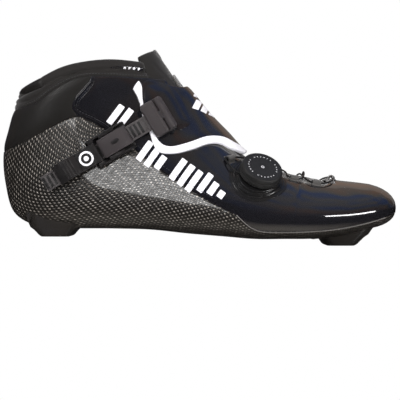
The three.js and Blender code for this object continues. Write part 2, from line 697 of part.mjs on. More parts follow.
function makeFrame() {
  const cheekLine = [
    [-17, BUCKLE_BASE.low], [12.5, BUCKLE_BASE.low], [12.5, 4.6], [8, 8.6], [3, 9.6], [-4, 9.4],
    [-8, 8], [-10.5, 9.2], [-15, 9.2], [-17, 7],
  ];
  const floor = box(-17, 12.5, -INNER - 0.2, INNER + 0.2, BUCKLE_BASE.low, BUCKLE_BASE.high);
  const cheeks = [sidePrism(cheekLine, -HALF, -INNER), sidePrism(cheekLine, INNER, HALF)];
  const leverHole = crossBar(PIN_RADIUS + RUNNING, LEVER_AXIS.x, LEVER_AXIS.z, -HALF - 1, HALF + 1);
  const tabHole = crossBar(PIN_RADIUS + RUNNING, TAB_AXIS.x, TAB_AXIS.z, -HALF - 1, HALF + 1);
  const seat = post(BUCKLE_SCREW.seat, BUCKLE_BASE.high - BUCKLE_SCREW.depth, 5, 20, BUCKLE_SCREW.x, 0);
  const shank = post(BUCKLE_SCREW.hole, -1, 5, 16, BUCKLE_SCREW.x, 0);
  return cut(join(floor, ...cheeks), leverHole, tabHole, seat, shank);
}

function makePin(radius, axis, reach) {
  return crossBar(radius, axis.x, axis.z, -reach, reach);
}

function makeBuckleScrew() {
  const head = BUCKLE_BASE.high - BUCKLE_SCREW.depth + GAP;
  const outline = [
    [0, -3.2], [1.7, -3.2], [1.7, head], [4, head], [4, BUCKLE_BASE.high], [0, BUCKLE_BASE.high],
  ];
  return turned(outline, 16).translate([BUCKLE_SCREW.x, 0, 0]);
}

function makeBuckleNut() {
  const flangeTop = -WALL - 2 * GAP;
  const flange = post(5, flangeTop - NUT_FLANGE, flangeTop, 20, BUCKLE_SCREW.x, 0);
  return cut(flange, post(2, -6, 2, 12, BUCKLE_SCREW.x, 0));
}

// The toothed strap: a flat band with a saw edge of low ramps on its outer face.
function makeLadder() {
  const top = LADDER.low + LADDER.band;
  const crest = top + LADDER.tooth;
  const end = LADDER.front - LADDER.end;
  const outline = [[LADDER.tail, LADDER.low], [LADDER.front, LADDER.low], [LADDER.front, crest]];
  outline.push([end, crest], [end, top]);
  for (let x = end - LADDER.pitch; x > LADDER.tail; x -= LADDER.pitch) {
    outline.push([x + LADDER.pitch * 0.55, top], [x + LADDER.pitch * 0.45, crest], [x, crest], [x, top]);
  }
  outline.push([LADDER.tail, top]);
  return crossProfile(outline, LADDER.width / 2);
}

function makeLever() {
  const plate = [
    [-11, 6.9], [-11.6, 8.6], [-13, 9], [-27, 8.9], [-30, 9.6], [-35, 11], [-40, 10.4], [-44, 7.4],
    [-43.2, 6.6], [-39.5, 8.6], [-35, 9.2], [-31, 8], [-29.5, 5.2], [-13.5, 5.1], [-11.4, 5.6],
  ];
  const body = crossProfile(plate, INNER - 0.5);
  const notch = box(-22, -15.4, -5.8, 5.8, 4, 8);
  const leverHole = makePin(PIN_RADIUS + RUNNING, LEVER_AXIS, HALF);
  const pawlHole = makePin(SMALL_PIN + RUNNING, PAWL_AXIS, HALF);
  return cut(body, notch, leverHole, pawlHole);
}

function makeDrivePawl() {
  const hub = crossBar(1.3, PAWL_AXIS.x, PAWL_AXIS.z, -5.2, 1.8, 14);
  const finger = sidePrism([[-18, 5.3], [-18, 7.5], [-17, 7.3], [-15.9, 5.6], [-16.2, 5]], -5.2, 1.8);
  return cut(join(hub, finger), makePin(SMALL_PIN + RUNNING, PAWL_AXIS, HALF));
}

function makeReleaseTab() {
  const body = crossProfile(
    [
      [-9.4, 7.1], [-9.6, 8.6], [-7, 9.9], [-1, 11], [5, 10.9], [10, 9.2],
      [12, 6.4], [11.6, 5.6], [8, 5], [7, 5.2], [4, 6.2], [-3.5, 6.2],
    ],
    INNER - 0.5,
  );
  const springRoom = box(-4.4, 1.4, 2.4, 6.6, 4, 9.4);
  return cut(body, springRoom, makePin(PIN_RADIUS + RUNNING, TAB_AXIS, HALF));
}

const COVER = { rear: 26.6, front: 43, low: -7, high: 8.4, half: 12.6, screw: 36.5 };
const TIGHTEN = 4; // how far the ladder can still be pulled in

// The moulded block on the strap's end, open underneath and at the rear for the ladder.
function makeCover() {
  const outline = [
    [COVER.rear, COVER.low], [COVER.rear, 6.6], [COVER.rear + 1.2, COVER.high - 0.6], [33, COVER.high],
    [35, COVER.high - 1.4], [37, COVER.high - 0.4], [41, COVER.high - 2.4],
    [COVER.front, 2.5], [COVER.front, COVER.low],
  ];
  const intoBuckle = buckleFrame.clone().invert();
  const strapTop = placed(bootBody(level(STRAP + 2 * GAP)), intoBuckle);
  const body = cut(crossProfile(outline, COVER.half), strapTop, strapTop.translate([TIGHTEN, 0, 0]));
  const side = LADDER.width / 2 + GAP;
  const crest = LADDER.low + LADDER.band + LADDER.tooth;
  const ladderRoom = box(COVER.rear - 1, LADDER.front + GAP, -side, side, 0, crest + GAP);
  const shank = post(1.9, COVER.low, 12, 12, COVER.screw, 0);
  const head = post(3.3, 5.6, 12, 16, COVER.screw, 0);
  return cut(body, ladderRoom, shank, head);
}

function makeCoverScrew() {
  const outline = [[0, 2.6], [1.6, 2.6], [1.6, 5.9], [3, 5.9], [3, 7.2], [0, 7.2]];
  return turned(outline, 14).translate([COVER.screw, 0, 0]);
}

addPiece(buckleGroup, "buckle_frame", makeFrame(), "plastic");
addPiece(buckleGroup, "buckle_screw", makeBuckleScrew(), "steel");
addPiece(buckleGroup, "buckle_nut", makeBuckleNut(), "steel");
addPiece(buckleGroup, "buckle_lever", makeLever(), "plastic");
addPiece(buckleGroup, "lever_pin", makePin(PIN_RADIUS, LEVER_AXIS, HALF + 0.4), "steel");
addPiece(buckleGroup, "drive_pawl", makeDrivePawl(), "steel");
addPiece(buckleGroup, "drive_pawl_pin", makePin(SMALL_PIN, PAWL_AXIS, INNER - 0.5), "steel");
addPiece(buckleGroup, "drive_pawl_spring", coil(PAWL_AXIS.x, PAWL_AXIS.z, 1.15, 0.2, 2.4, 5.2, 3), "steel");
addPiece(buckleGroup, "release_tab", makeReleaseTab(), "plastic");
addPiece(buckleGroup, "release_pin", makePin(PIN_RADIUS, TAB_AXIS, HALF + 0.4), "steel");
addPiece(buckleGroup, "release_spring", coil(TAB_AXIS.x, TAB_AXIS.z, 1.6, 0.28, 2.9, 6.1, 3), "steel");
addPiece(buckleGroup, "ladder_strap", makeLadder(), "ladder");
addPiece(buckleGroup, "ladder_cover", makeCover(), "plastic");
addPiece(buckleGroup, "ladder_screw", makeCoverScrew(), "steel");

// ---- lace guides and lace

// Each guide stands on the upper: x and y of its middle, and the way the lace runs through it.
const GUIDES = [
  { name: "lateral_rear", x: 20, y: -29.5, run: [0.55, 0.83] },
  { name: "lateral_middle", x: 64, y: -22.5, run: [1, 0.05] },
  { name: "lateral_front", x: 79, y: -22.5, run: [1, 0.1] },
  { name: "medial_rear", x: 46, y: 28, run: [1, 0.05] },
  { name: "medial_middle", x: 61, y: 29.5, run: [1, 0.05] },
  { name: "medial_front", x: 77, y: 30, run: [1, 0] },
  { name: "toe", x: 91.5, y: 3, run: [0, 1] },
];
const GUIDE = { length: 6, width: 4.4, low: 0.35, high: 3.4, bore: 1.2, lift: 1.85 };

function guideFrame(guide) {
  const first = [1 + (92 - guide.x) / 18, guide.y < 3 ? 0.44 : 0.56];
  const spot = findOnSurface({ x: guide.x, y: guide.y }, first);
  return frameAt(spot.point, spot.normal, new THREE.Vector3(...guide.run, 0));
}

function makeGuide() {
  const x = GUIDE.length / 2;
  const y = GUIDE.width / 2;
  const body = box(-x, x, -y, y, GUIDE.low, GUIDE.high);
  const bore = post(GUIDE.bore, -GUIDE.length, GUIDE.length, 12);
  return cut(body, bore.rotate([0, 90, 0]).translate([0, 0, GUIDE.lift]));
}

const guideFrames = new Map();
for (const guide of GUIDES) {
  guideFrames.set(guide.name, guideFrame(guide));
  const mesh = addPiece(boot, `lace_guide_${guide.name}`, makeGuide(), "webbing");
  mesh.applyMatrix4(guideFrames.get(guide.name));
}

// Two points of the lace, one at each mouth of a guide, in the order it is threaded.
function threaded(name, sense) {
  const mouth = GUIDE.length / 2 + 1.6;
  const frame = guideFrames.get(name);
  return [-mouth, 0, mouth].map((x) => new THREE.Vector3(x * sense, 0, GUIDE.lift).applyMatrix4(frame));
}

// A point of the lace over the boot's surface, at x and y, this high above it.
function overBoot(x, y, height) {
  const spot = findOnSurface({ x, y }, [1 + (92 - x) / 18, y < 5 ? 0.47 : 0.53]);
  return spot.point.addScaledVector(spot.normal, height);
}

const fromDial = (angle, radius, height) => {
  const turn = THREE.MathUtils.degToRad(angle);
  return new THREE.Vector3(radius * Math.cos(turn), radius * Math.sin(turn), height).applyMatrix4(dialFrame);
};

// One lace: out of the dial's rear, across the throat through the guides and back in at its front.
function makeLace() {
  const route = [
    fromDial(188, HOUSING.wall + GAP, 3.5),
    fromDial(180, 17, 3.4),
    ...threaded("lateral_rear", 1),
    overBoot(31, -19, 1.8),
    overBoot(37, -5, 1.2),
    overBoot(39, 14, 1.4),
    ...threaded("medial_rear", 1),
    overBoot(53.5, 19, 1.3),
    overBoot(56, 4, 0.1),
    overBoot(58.5, -12, 1.1),
    ...threaded("lateral_middle", 1),
    overBoot(71, -12, 2.2),
    overBoot(72, 4, 1.9),
    overBoot(72.5, 20, 2.2),
    ...threaded("medial_front", 1),
    overBoot(87, 20, 1.8),
    ...threaded("toe", -1),
    overBoot(90, -13, 1.8),
    ...threaded("lateral_front", -1),
    overBoot(72, -14, 0.5),
    overBoot(70, 4, 0.1),
    overBoot(68.5, 21, 1),
    ...threaded("medial_middle", -1),
    overBoot(56, 22, 2.6),
    overBoot(54.5, 8, 2),
    overBoot(53.5, -9, 2.4),
    fromDial(38, 18.5, 3.6),
    fromDial(36, HOUSING.wall + GAP, 3.5),
  ];
  return tube(route, LACE_RADIUS, 80, 8);
}

addPiece(boot, "lace", makeLace(), "lace");

export default boot;
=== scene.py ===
# %% [markdown]
# # An inline speed skating boot, without frame and wheels
# A racing boot is a stack of thin layers round one foot-shaped form: a moulded carbon shell under
# it, glossy panels round it, a padded collar and tongue on top, and fittings that pull it closed.
# So this file first describes that form by a formula, and then cuts every layer out of it.
# The part's frame is loaded first: each piece made here stands for one of its nodes. Formulas run
# in millimetres about the frame bolts' plane, which lies CENTRE_Y sideways of the origin, and one
# function turns their points into a mesh in metres at its right place.

# %% Load the frame
import math
import bmesh
import bpy
import numpy as np
from mathutils import Matrix, Vector


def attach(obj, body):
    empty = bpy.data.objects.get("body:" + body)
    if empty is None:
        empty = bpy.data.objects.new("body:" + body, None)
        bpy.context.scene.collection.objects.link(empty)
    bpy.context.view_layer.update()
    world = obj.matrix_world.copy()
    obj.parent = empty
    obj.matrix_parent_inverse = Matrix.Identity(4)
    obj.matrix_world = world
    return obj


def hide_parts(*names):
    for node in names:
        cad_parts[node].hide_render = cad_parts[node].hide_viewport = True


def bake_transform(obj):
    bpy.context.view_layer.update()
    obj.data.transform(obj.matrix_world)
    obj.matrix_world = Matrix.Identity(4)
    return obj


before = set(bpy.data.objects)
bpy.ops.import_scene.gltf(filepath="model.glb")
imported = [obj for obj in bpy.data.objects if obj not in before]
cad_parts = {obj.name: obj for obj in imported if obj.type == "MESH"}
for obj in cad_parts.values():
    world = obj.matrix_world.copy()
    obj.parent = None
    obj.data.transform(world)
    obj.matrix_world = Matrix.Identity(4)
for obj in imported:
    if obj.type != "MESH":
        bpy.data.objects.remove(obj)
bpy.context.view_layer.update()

scene = bpy.context.scene
MM = 0.001
CENTRE_Y = 3.4

# %% [markdown]
# ## The foot form
# Each station is one cut across the boot, from a point under the sole to a point on top. The cuts
# fan out round the heel, so that the heel cup and the ankle come from the same rule as the toe.
# A cut is a superellipse with four quarters of its own, which gives a soft square sole edge and a
# rounder top. A loft of circles would be easier, but it can't turn flat under the ball of the foot.

# %% The stations
# top x and z, sole x and z, lateral and medial half width, ridge, waist, low and high squareness
STATIONS = np.array([
    (118, 41.7, 118, 11.4, 33, 38, 8, 0.42, 2.7, 1.9),
    (98, 44.4, 98, 6.4, 43, 44, 10, 0.4, 2.9, 1.75),
    (78, 48, 78, 4.3, 48.5, 46, 10, 0.38, 3, 1.7),
    (60, 51.6, 58, 4.1, 50, 45, 9, 0.37, 3, 1.8),
    (44, 56.6, 38, 4.1, 49, 43.5, 8, 0.37, 3, 1.85),
    (30, 64.6, 16, 5.9, 46.5, 41, 7, 0.37, 3, 1.9),
    (18.5, 75.8, -8, 7.9, 42.5, 38, 5, 0.38, 3, 1.95),
    (8, 87.2, -34, 10.6, 38.5, 35, 3, 0.39, 3, 2),
    (-2.5, 99, -62, 11.4, 35.5, 33.5, 1.5, 0.4, 3, 2.1),
    (-11, 109.6, -89, 11.6, 34, 33, 0.5, 0.42, 2.9, 2.2),
    (-17.5, 118.6, -112, 13.2, 33.5, 33, 0, 0.45, 2.6, 2.2),
    (-22.5, 126.4, -128.2, 22.5, 33.5, 33, 0, 0.48, 2.35, 2.2),
    (-26, 132.4, -134.2, 42, 34, 33.5, 0, 0.5, 2.25, 2.2),
    (-29, 138, -135.7, 62, 34.5, 34, 0, 0.5, 2.2, 2.2),
    (-32, 143, -131.8, 80, 34.5, 34, 0, 0.5, 2.2, 2.2),
    (-35, 147.5, -127.4, 96, 34, 33.5, 0, 0.5, 2.2, 2.2),
    (-38, 151, -123.6, 110, 34, 33.5, 0, 0.5, 2.2, 2.2),
    (-41, 154, -120.5, 124, 34, 33.5, 0, 0.5, 2.2, 2.2),
], dtype=float)
LAST = len(STATIONS) - 1
CAP_LENGTH, CAP_DROP, CAP_ROUND = 17.9, 1.6, 0.8
WALL = 1.8
SOLE_EXTRA = 3.2
GAP = 0.3


def catmull(values, at):
    """Rows between the given ones, on a smooth curve, at fractional indices."""
    last = len(values) - 1
    at = np.clip(at, 0, last)
    i = np.minimum(at.astype(int), last - 1)
    a, b, c, d = (values[np.clip(i + k, 0, last)] for k in (-1, 0, 1, 2))
    t = (at - i)[:, None]
    return b + 0.5 * t * ((c - a) + t * ((2 * a - 5 * b + 4 * c - d) + t * (3 * b - a - 3 * c + d)))


def cut_points(along, turn):
    """Points of the cuts: turn 0 is under the sole, a quarter the lateral side, a half the top."""
    tx, tz, sx, sz, lateral, medial, ridge, waist, low, high = catmull(STATIONS, along).T
    side, rise = np.sin(2 * np.pi * turn), -np.cos(2 * np.pi * turn)
    power = 2 / np.where(rise < 0, low, high)
    reach = np.where(side > 0, lateral + ridge, medial - ridge)
    lift = np.abs(rise) ** power
    share = np.where(rise < 0, waist * (1 - lift), waist + (1 - waist) * lift)
    y = ridge - np.sign(side) * reach * np.abs(side) ** power
    return np.stack([sx + (tx - sx) * share, y, sz + (tz - sz) * share], -1)


def surface(along, turn):
    """The whole form in mm; along from -1 (tip of the toe) to 0 is the closed toe cap."""
    along, turn = np.broadcast_arrays(np.asarray(along, float), np.asarray(turn, float))
    zero = np.zeros_like(along)
    edge, inner = cut_points(zero, turn), cut_points(zero + 0.05, turn)
    middle = (cut_points(zero, zero) + cut_points(zero, zero + 0.5)) / 2
    angle = (1 + np.minimum(along, 0)) * np.pi / 2
    ahead = np.maximum(np.cos(angle), 0) ** CAP_ROUND
    size = np.sin(angle) ** CAP_ROUND
    run = CAP_LENGTH * ahead * size / (edge[:, 0] - inner[:, 0])
    cap = middle + (edge - middle) * size[:, None] + (edge - inner) * run[:, None]
    cap[:, 0] = middle[:, 0] + CAP_LENGTH * ahead
    cap[:, 2] -= CAP_DROP * ahead
    return np.where(along[:, None] < 0, cap, cut_points(np.maximum(along, 0), turn))


def surface_normal(along, turn):
    """Unit normals of the form, from its slopes along and across."""
    step = 0.002
    at = np.clip(along, -0.985, LAST - step)
    ahead = surface(at + step, turn) - surface(at - step, turn)
    across = surface(at, turn + step) - surface(at, turn - step)
    normal = np.cross(across, ahead)
    return normal / np.linalg.norm(normal, axis=1)[:, None]


def wall_at(normal):
    """The shell is thicker under the foot."""
    t = np.clip((-normal[:, 2] - 0.5) / 0.45, 0, 1)
    return WALL + SOLE_EXTRA * t * t * (3 - 2 * t)


def find_on_surface(wanted, guess):
    """The surface point with two given coordinates, such as {0: x, 2: z}, by Newton's method."""
    at, step = np.array(guess, float), 1e-4
    axes = list(wanted)
    goal = np.array([wanted[a] for a in axes])
    value = lambda a, t: surface(np.array([a]), np.array([t]))[0][axes] - goal
    for _ in range(30):
        miss = value(*at)
        slopes = np.stack([value(at[0] + step, at[1]) - miss, value(at[0], at[1] + step) - miss], 1) / step
        at -= np.clip(np.linalg.solve(slopes, miss), [-1, -0.05], [1, 0.05])
    a, t = at[:1], at[1:]
    return Vector(surface(a, t)[0]), Vector(surface_normal(a, t)[0])


sole_line = surface(np.linspace(-1, LAST, 90), np.zeros(90))
print("length of the form in mm:", round(float(np.ptp(sole_line[:, 0])), 1))

# %% [markdown]
# ## The lines that divide the boot
# A boot maker draws seams as lines on the side of the last. Each line here is a height over x, or
# an x over height, and it turns into a field: a number for every point of the surface that says
# how far it lies on the wanted side. Fields can be combined and moved, and an edge can be rounded
# by its distance, none of which a boolean cut would give.

# %% Seam lines as fields


def smooth(points, count=60):
    """A line of count points through the given ones."""
    points = np.array(points, float)
    return catmull(points, np.linspace(0, len(points) - 1, count))


SHELL_EDGE = np.concatenate([
    smooth([(-150, 60.5), (-135.3, 64.3), (-120.3, 69.4), (-102.7, 78.3), (-88.6, 85.3), (-81.5, 87.1)]),
    smooth([(-76.2, 85.3), (-64.7, 79.1), (-56.4, 72.6), (-44.6, 65.7), (-27.3, 51.9), (-6.6, 38),
            (10.7, 27.7)]),
    smooth([(24.5, 20.7), (36, 11.4), (50, 9.5), (68, 9.8), (86, 10.9), (105, 13.8), (124, 18.6),
            (150, 27)]),
])
COLLAR_SEAM = smooth([(-150, 90), (-128.3, 92.4), (-111.5, 95.9), (-98.3, 104.7), (-80.6, 113), (-60, 114),
                      (-24, 113), (0, 112)])
RIM = smooth([(-150, 99), (-123.4, 109.6), (-108.9, 115), (-92.3, 121.8), (-75.7, 125.6), (-60, 127),
              (-41, 126.4), (-10, 124)])
QUARTER_REAR = smooth([(-72.7, 114), (-72.9, 111.7), (-79, 104.5), (-83.3, 99.4), (-85.1, 92.4), (-81.4, 87),
                       (-70, 60)])
THROAT_LATERAL = smooth([(-60, -16), (-24, -17), (10, -18), (44, -18), (70, -19), (84, -18), (88, -8)])
THROAT_MEDIAL = smooth([(-60, 16), (-24, 17), (10, 20), (44, 24), (70, 26), (84, 26), (88, 16)])


def above(line, shift=0.0):
    """Positive over a line of z over x."""
    def field(p):
        x, z = line[:, 0], line[:, 1]
        slope = np.interp(p[:, 0], x, np.gradient(z, x))
        return (p[:, 2] - np.interp(p[:, 0], x, z) - shift) / np.sqrt(1 + slope * slope)
    return field


def ahead_of(line, shift=0.0):
    """Positive to the toe side of a line of x over z, given from its top down."""
    def field(p):
        z, x = line[::-1, 1], line[::-1, 0]
        slope = np.interp(p[:, 2], z, np.gradient(x, z))
        return (p[:, 0] - np.interp(p[:, 2], z, x) - shift) / np.sqrt(1 + slope * slope)
    return field


def inside_throat(grow=0.0):
    """Positive in the opening over the instep."""
    def field(p):
        low = np.interp(p[:, 0], THROAT_LATERAL[:, 0], THROAT_LATERAL[:, 1]) - grow
        high = np.interp(p[:, 0], THROAT_MEDIAL[:, 0], THROAT_MEDIAL[:, 1]) + grow
        across = np.minimum(p[:, 1] - low, high - p[:, 1])
        return np.minimum(np.minimum(across, 88 + grow - p[:, 0]), np.minimum(p[:, 0] + 50, p[:, 2] - 26))
    return field


def outline_field(outline, plane=(0, 2)):
    """Positive inside a closed outline, seen from the side (x, z) or from above (x, y)."""
    a = np.array(outline, float)
    b = np.roll(a, -1, axis=0)

    def field(p):
        q = p[:, None, plane]
        edge = (b - a)[None]
        t = np.clip(((q - a) * edge).sum(-1) / np.maximum((edge * edge).sum(-1), 1e-9), 0, 1)
        away = np.linalg.norm(q - a - edge * t[..., None], axis=-1).min(1)
        crossing = (a[:, 1] > q[..., 1]) != (b[:, 1] > q[..., 1])
        x = a[:, 0] + (q[..., 1] - a[:, 1]) * edge[..., 0] / np.where(edge[..., 1] == 0, 1e-9, edge[..., 1])
        return np.where((crossing & (q[..., 0] < x)).sum(1) % 2 == 1, away, -away)
    return field


def minus(field):
    """The other side of a field."""
    return lambda p: -field(p)


def grown(field, by):
    """A field whose edge lies by mm further out."""
    return lambda p: field(p) + by


def either(*fields):
    """Positive where any of the fields is."""
    return lambda p: np.max([f(p) for f in fields], axis=0)


lateral_side = lambda p: -p[:, 1]
medial_side = lambda p: p[:, 1]
print("seam lines:", len(SHELL_EDGE), "points on the shell's edge")

# %% [markdown]
# ## From fields to a solid layer
# A layer starts as a fine net over the form. Faces that a field crosses are clipped at its zero,
# as a cutter follows a pattern. The trimmed net is then made a closed solid: an outer sheet, an
# inner sheet, and a half-round border between them, because a cut edge of leather, foam or
# laminate is never a knife edge. Arc length round the form is kept as the layer's UV, in metres,
# so that a weave has its real pitch everywhere.

# %% Clip, thicken and round a layer
arc_along = np.linspace(-1, LAST, 145)
arc_turn = np.linspace(0, 1, 65)
LATERAL_COLUMN = 16
grid_along, grid_turn = np.meshgrid(arc_along, arc_turn, indexing="ij")
grid = surface(grid_along.ravel(), grid_turn.ravel()).reshape(len(arc_along), len(arc_turn), 3)
ARC_AROUND = np.zeros(grid_along.shape)
ARC_AROUND[:, 1:] = np.cumsum(np.linalg.norm(np.diff(grid, axis=1), axis=2), axis=1)
along_steps = np.linalg.norm(np.diff(grid[:, LATERAL_COLUMN], axis=0), axis=1)
ARC_ALONG = np.concatenate([[0], np.cumsum(along_steps)])


def arc_uv(along, turn):
    """Arc lengths in mm along and round the form."""
    row = np.interp(along, arc_along, np.arange(len(arc_along)))
    i = np.minimum(row.astype(int), len(arc_along) - 2)
    col = np.clip(turn, 0, 1) * (len(arc_turn) - 1)
    j = np.minimum(col.astype(int), len(arc_turn) - 2)
    s, t = row - i, col - j
    near = lambda k: ARC_AROUND[i + k, j] * (1 - t) + ARC_AROUND[i + k, j + 1] * t
    around = near(0) * (1 - s) + near(1) * s
    return np.stack([np.interp(along, arc_along, ARC_ALONG), around], 1)


def clip(params, faces, field, snap=0.03):
    """Keeps what lies on the field's positive side, cutting the faces that it crosses."""
    value = field(surface(params[:, 0], params[:, 1]))
    value[np.abs(value) < snap] = 0
    rows, kept, made = [p for p in params], [], {}
    for face in faces:
        inside = [value[i] >= 0 for i in face]
        if all(inside):
            kept.append(face)
            continue
        if not any(value[i] > 0 for i in face):
            continue
        polygon = []
        for k, i in enumerate(face):
            j = face[(k + 1) % len(face)]
            if value[i] >= 0:
                polygon.append(i)
            if value[i] * value[j] < 0:
                key = (min(i, j), max(i, j))
                if key not in made:
                    share = value[i] / (value[i] - value[j])
                    made[key] = len(rows)
                    rows.append(params[i] + (params[j] - params[i]) * share)
                polygon.append(made[key])
        if len(polygon) > 2:
            kept.append(tuple(polygon))
    used = sorted({i for f in kept for i in f})
    renumber = {i: n for n, i in enumerate(used)}
    return np.array([rows[i] for i in used]), [tuple(renumber[i] for i in f) for f in kept]


def net(along, turn, per_station, around):
    """A net over part of the form: rows for each station, and columns for a whole turn."""
    rows = max(2, round((along[1] - along[0]) * per_station))
    cols = max(2, round((turn[1] - turn[0]) * around))
    a, t = np.meshgrid(np.linspace(*along, rows + 1), np.linspace(*turn, cols + 1), indexing="ij")
    params = np.stack([a.ravel(), t.ravel()], 1)
    faces = []
    for i in range(rows):
        for j in range(cols):
            k = i * (cols + 1) + j
            faces.append((k, k + 1, k + cols + 2, k + cols + 1))
    return params, faces


def trimmed(fields, along=(-1, LAST), turn=(0, 1), per_station=7, around=150):
    """A net clipped by every field; along and turn only say where the net is laid."""
    params, faces = net(along, turn, per_station, around)
    for field in fields:
        params, faces = clip(params, faces, field)
    return params, faces


def make_mesh(name, points, faces, uv=None):
    """A mesh object from points in metres, with its doubles merged and its normals outward."""
    mesh = bpy.data.meshes.new(name)
    mesh.from_pydata([(x, y + CENTRE_Y * MM, z) for x, y, z in points], [], faces)
    if uv is not None:
        layer = mesh.uv_layers.new(name="arc")
        index = np.empty(len(mesh.loops), int)
        mesh.loops.foreach_get("vertex_index", index)
        layer.data.foreach_set("uv", np.asarray(uv)[index].astype(np.float32).ravel())
    bm = bmesh.new()
    bm.from_mesh(mesh)
    bmesh.ops.remove_doubles(bm, verts=bm.verts, dist=1e-6)
    bmesh.ops.dissolve_degenerate(bm, edges=bm.edges, dist=1e-7)
    bmesh.ops.recalc_face_normals(bm, faces=bm.faces)
    bm.to_mesh(mesh)
    bm.free()
    mesh.shade_smooth()
    piece = bpy.data.objects.new(name, mesh)
    scene.collection.objects.link(piece)
    return piece


def layer(name, params, faces, outer, inner, roll=0.5, steps=4, fields=()):
    """A closed solid between two levels of the form, in mm; outer and inner are numbers or
    functions of (points, normals, distance to the nearest trimmed edge)."""
    base, normal = surface(params[:, 0], params[:, 1]), surface_normal(params[:, 0], params[:, 1])
    key = np.round(base, 3)
    _, first, same = np.unique(key, axis=0, return_index=True, return_inverse=True)
    same = same.ravel()
    average = np.zeros((len(first), 3))
    np.add.at(average, same, normal)
    normal = average / np.linalg.norm(average, axis=1)[:, None]
    base, uv = base[first], arc_uv(params[first, 0], params[first, 1]) * MM
    clean = []
    for face in faces:
        ring = [same[i] for i in face]
        ring = [v for k, v in enumerate(ring) if v != ring[k - 1]]
        if len(set(ring)) > 2:
            clean.append(tuple(ring))
    away = np.min([np.abs(f(base)) for f in fields], axis=0) if fields else np.full(len(base), 99.0)
    level = lambda rule: rule(base, normal, away) if callable(rule) else np.full(len(base), float(rule))
    top = base + normal * level(outer)[:, None]
    low = base + normal * level(inner)[:, None]
    edges = {}
    for face in clean:
        for k, i in enumerate(face):
            j = face[(k + 1) % len(face)]
            edges[(i, j)] = True
    border = [(i, j) for i, j in edges if (j, i) not in edges]
    outward = np.zeros_like(base)
    for i, j in border:
        way = np.cross(top[j] - top[i], normal[i] + normal[j])
        way /= max(np.linalg.norm(way), 1e-9)
        outward[i] += way
        outward[j] += way
    rim = sorted({i for e in border for i in e})
    place = {i: n for n, i in enumerate(rim)}
    if clean and (np.cross(top[clean[0][1]] - top[clean[0][0]], top[clean[0][2]] - top[clean[0][1]])
                  @ normal[clean[0][0]]) < 0:
        outward = -outward
    way = outward[rim] / np.maximum(np.linalg.norm(outward[rim], axis=1), 1e-9)[:, None]
    n = len(base)
    points, coords = [top, low], [uv, uv]
    solid = list(clean) + [tuple(i + n for i in reversed(f)) for f in clean]
    rings = [np.array(rim)]
    for k in range(1, steps):
        angle = math.pi * k / steps
        share = (1 - math.cos(angle)) / 2
        points.append(top[rim] * (1 - share) + low[rim] * share + way * roll * math.sin(angle))
        coords.append(uv[rim])
        rings.append(2 * n + (k - 1) * len(rim) + np.arange(len(rim)))
    rings.append(np.array(rim) + n)
    for upper, lower in zip(rings, rings[1:]):
        for i, j in border:
            a, b = place[i], place[j]
            solid.append((upper[b], upper[a], lower[a], lower[b]))
    return make_mesh(name, np.concatenate(points) * MM, solid, np.concatenate(coords))


print("arc round the boot at the dial in mm:", round(float(ARC_AROUND[40, -1])))

# %% [markdown]
# ## Frames for the fittings
# Buckle, dial and guides are built in frames of their own, with z standing out of the boot, and
# then placed. The frames come from the surface formula, so the fittings sit on it exactly.

# %% Frames on the surface


def frame_at(point, out, direction):
    """A frame at a point in mm, with z along out and x as near to direction as it can be."""
    z = Vector(out).normalized()
    x = Vector(direction)
    x = (x - z * x.dot(z)).normalized()
    y = z.cross(x)
    turn = Matrix((x, y, z)).transposed().to_4x4()
    return Matrix.Translation(Vector(point) * MM) @ turn


def in_frame(matrix, points):
    """Points in mm of a frame, to metres in the boot's frame."""
    return np.array([matrix @ (Vector(p) * MM) for p in points])


BUCKLE_X, BUCKLE_Z, BUCKLE_SLOPE = -57.4, 68.8, math.radians(31)
spot, out = find_on_surface({0: BUCKLE_X, 2: BUCKLE_Z}, (8.5, 0.28))
buckle_frame = frame_at(spot, out, (math.cos(BUCKLE_SLOPE), 0, math.sin(BUCKLE_SLOPE)))
DIAL_X, DIAL_Z, DIAL_AXIS = 39, 45, (0.26, -0.66, 0.7)
spot, _ = find_on_surface({0: DIAL_X, 2: DIAL_Z}, (4.5, 0.35))
dial_frame = frame_at(spot, DIAL_AXIS, (1, 0, 0))
print("dial centre in mm:", [round(v / MM, 1) for v in dial_frame.translation])

# %% [markdown]
# ## Camera
# The boot is shown square from its outer side, from a metre away with a long lens, so that it
# keeps its true outline.

# %% Camera
VIEW_WIDTH = 0.2766
DISTANCE = 1.0
SENSOR = 36.0
camera = bpy.data.objects.new("camera", bpy.data.cameras.new("camera"))
camera.data.sensor_width = SENSOR
camera.data.lens = SENSOR * DISTANCE / VIEW_WIDTH
camera.location = (0.0003, -DISTANCE, 0.0311)
camera.rotation_euler = (math.pi / 2, 0, 0)
scene.collection.objects.link(camera)
scene.camera = camera
scene.view_settings.view_transform = "Standard"
print("lens in mm:", round(camera.data.lens, 1))

# %% [markdown]
# ## Room
# Black gloss has hardly any colour of its own: it shows what stands round it. So the room is dim
# below and paler above, and its upper half drifts from blue to brown. The camera sees plain white
# instead, which an even world colour would give too, but then the gloss would look flat.

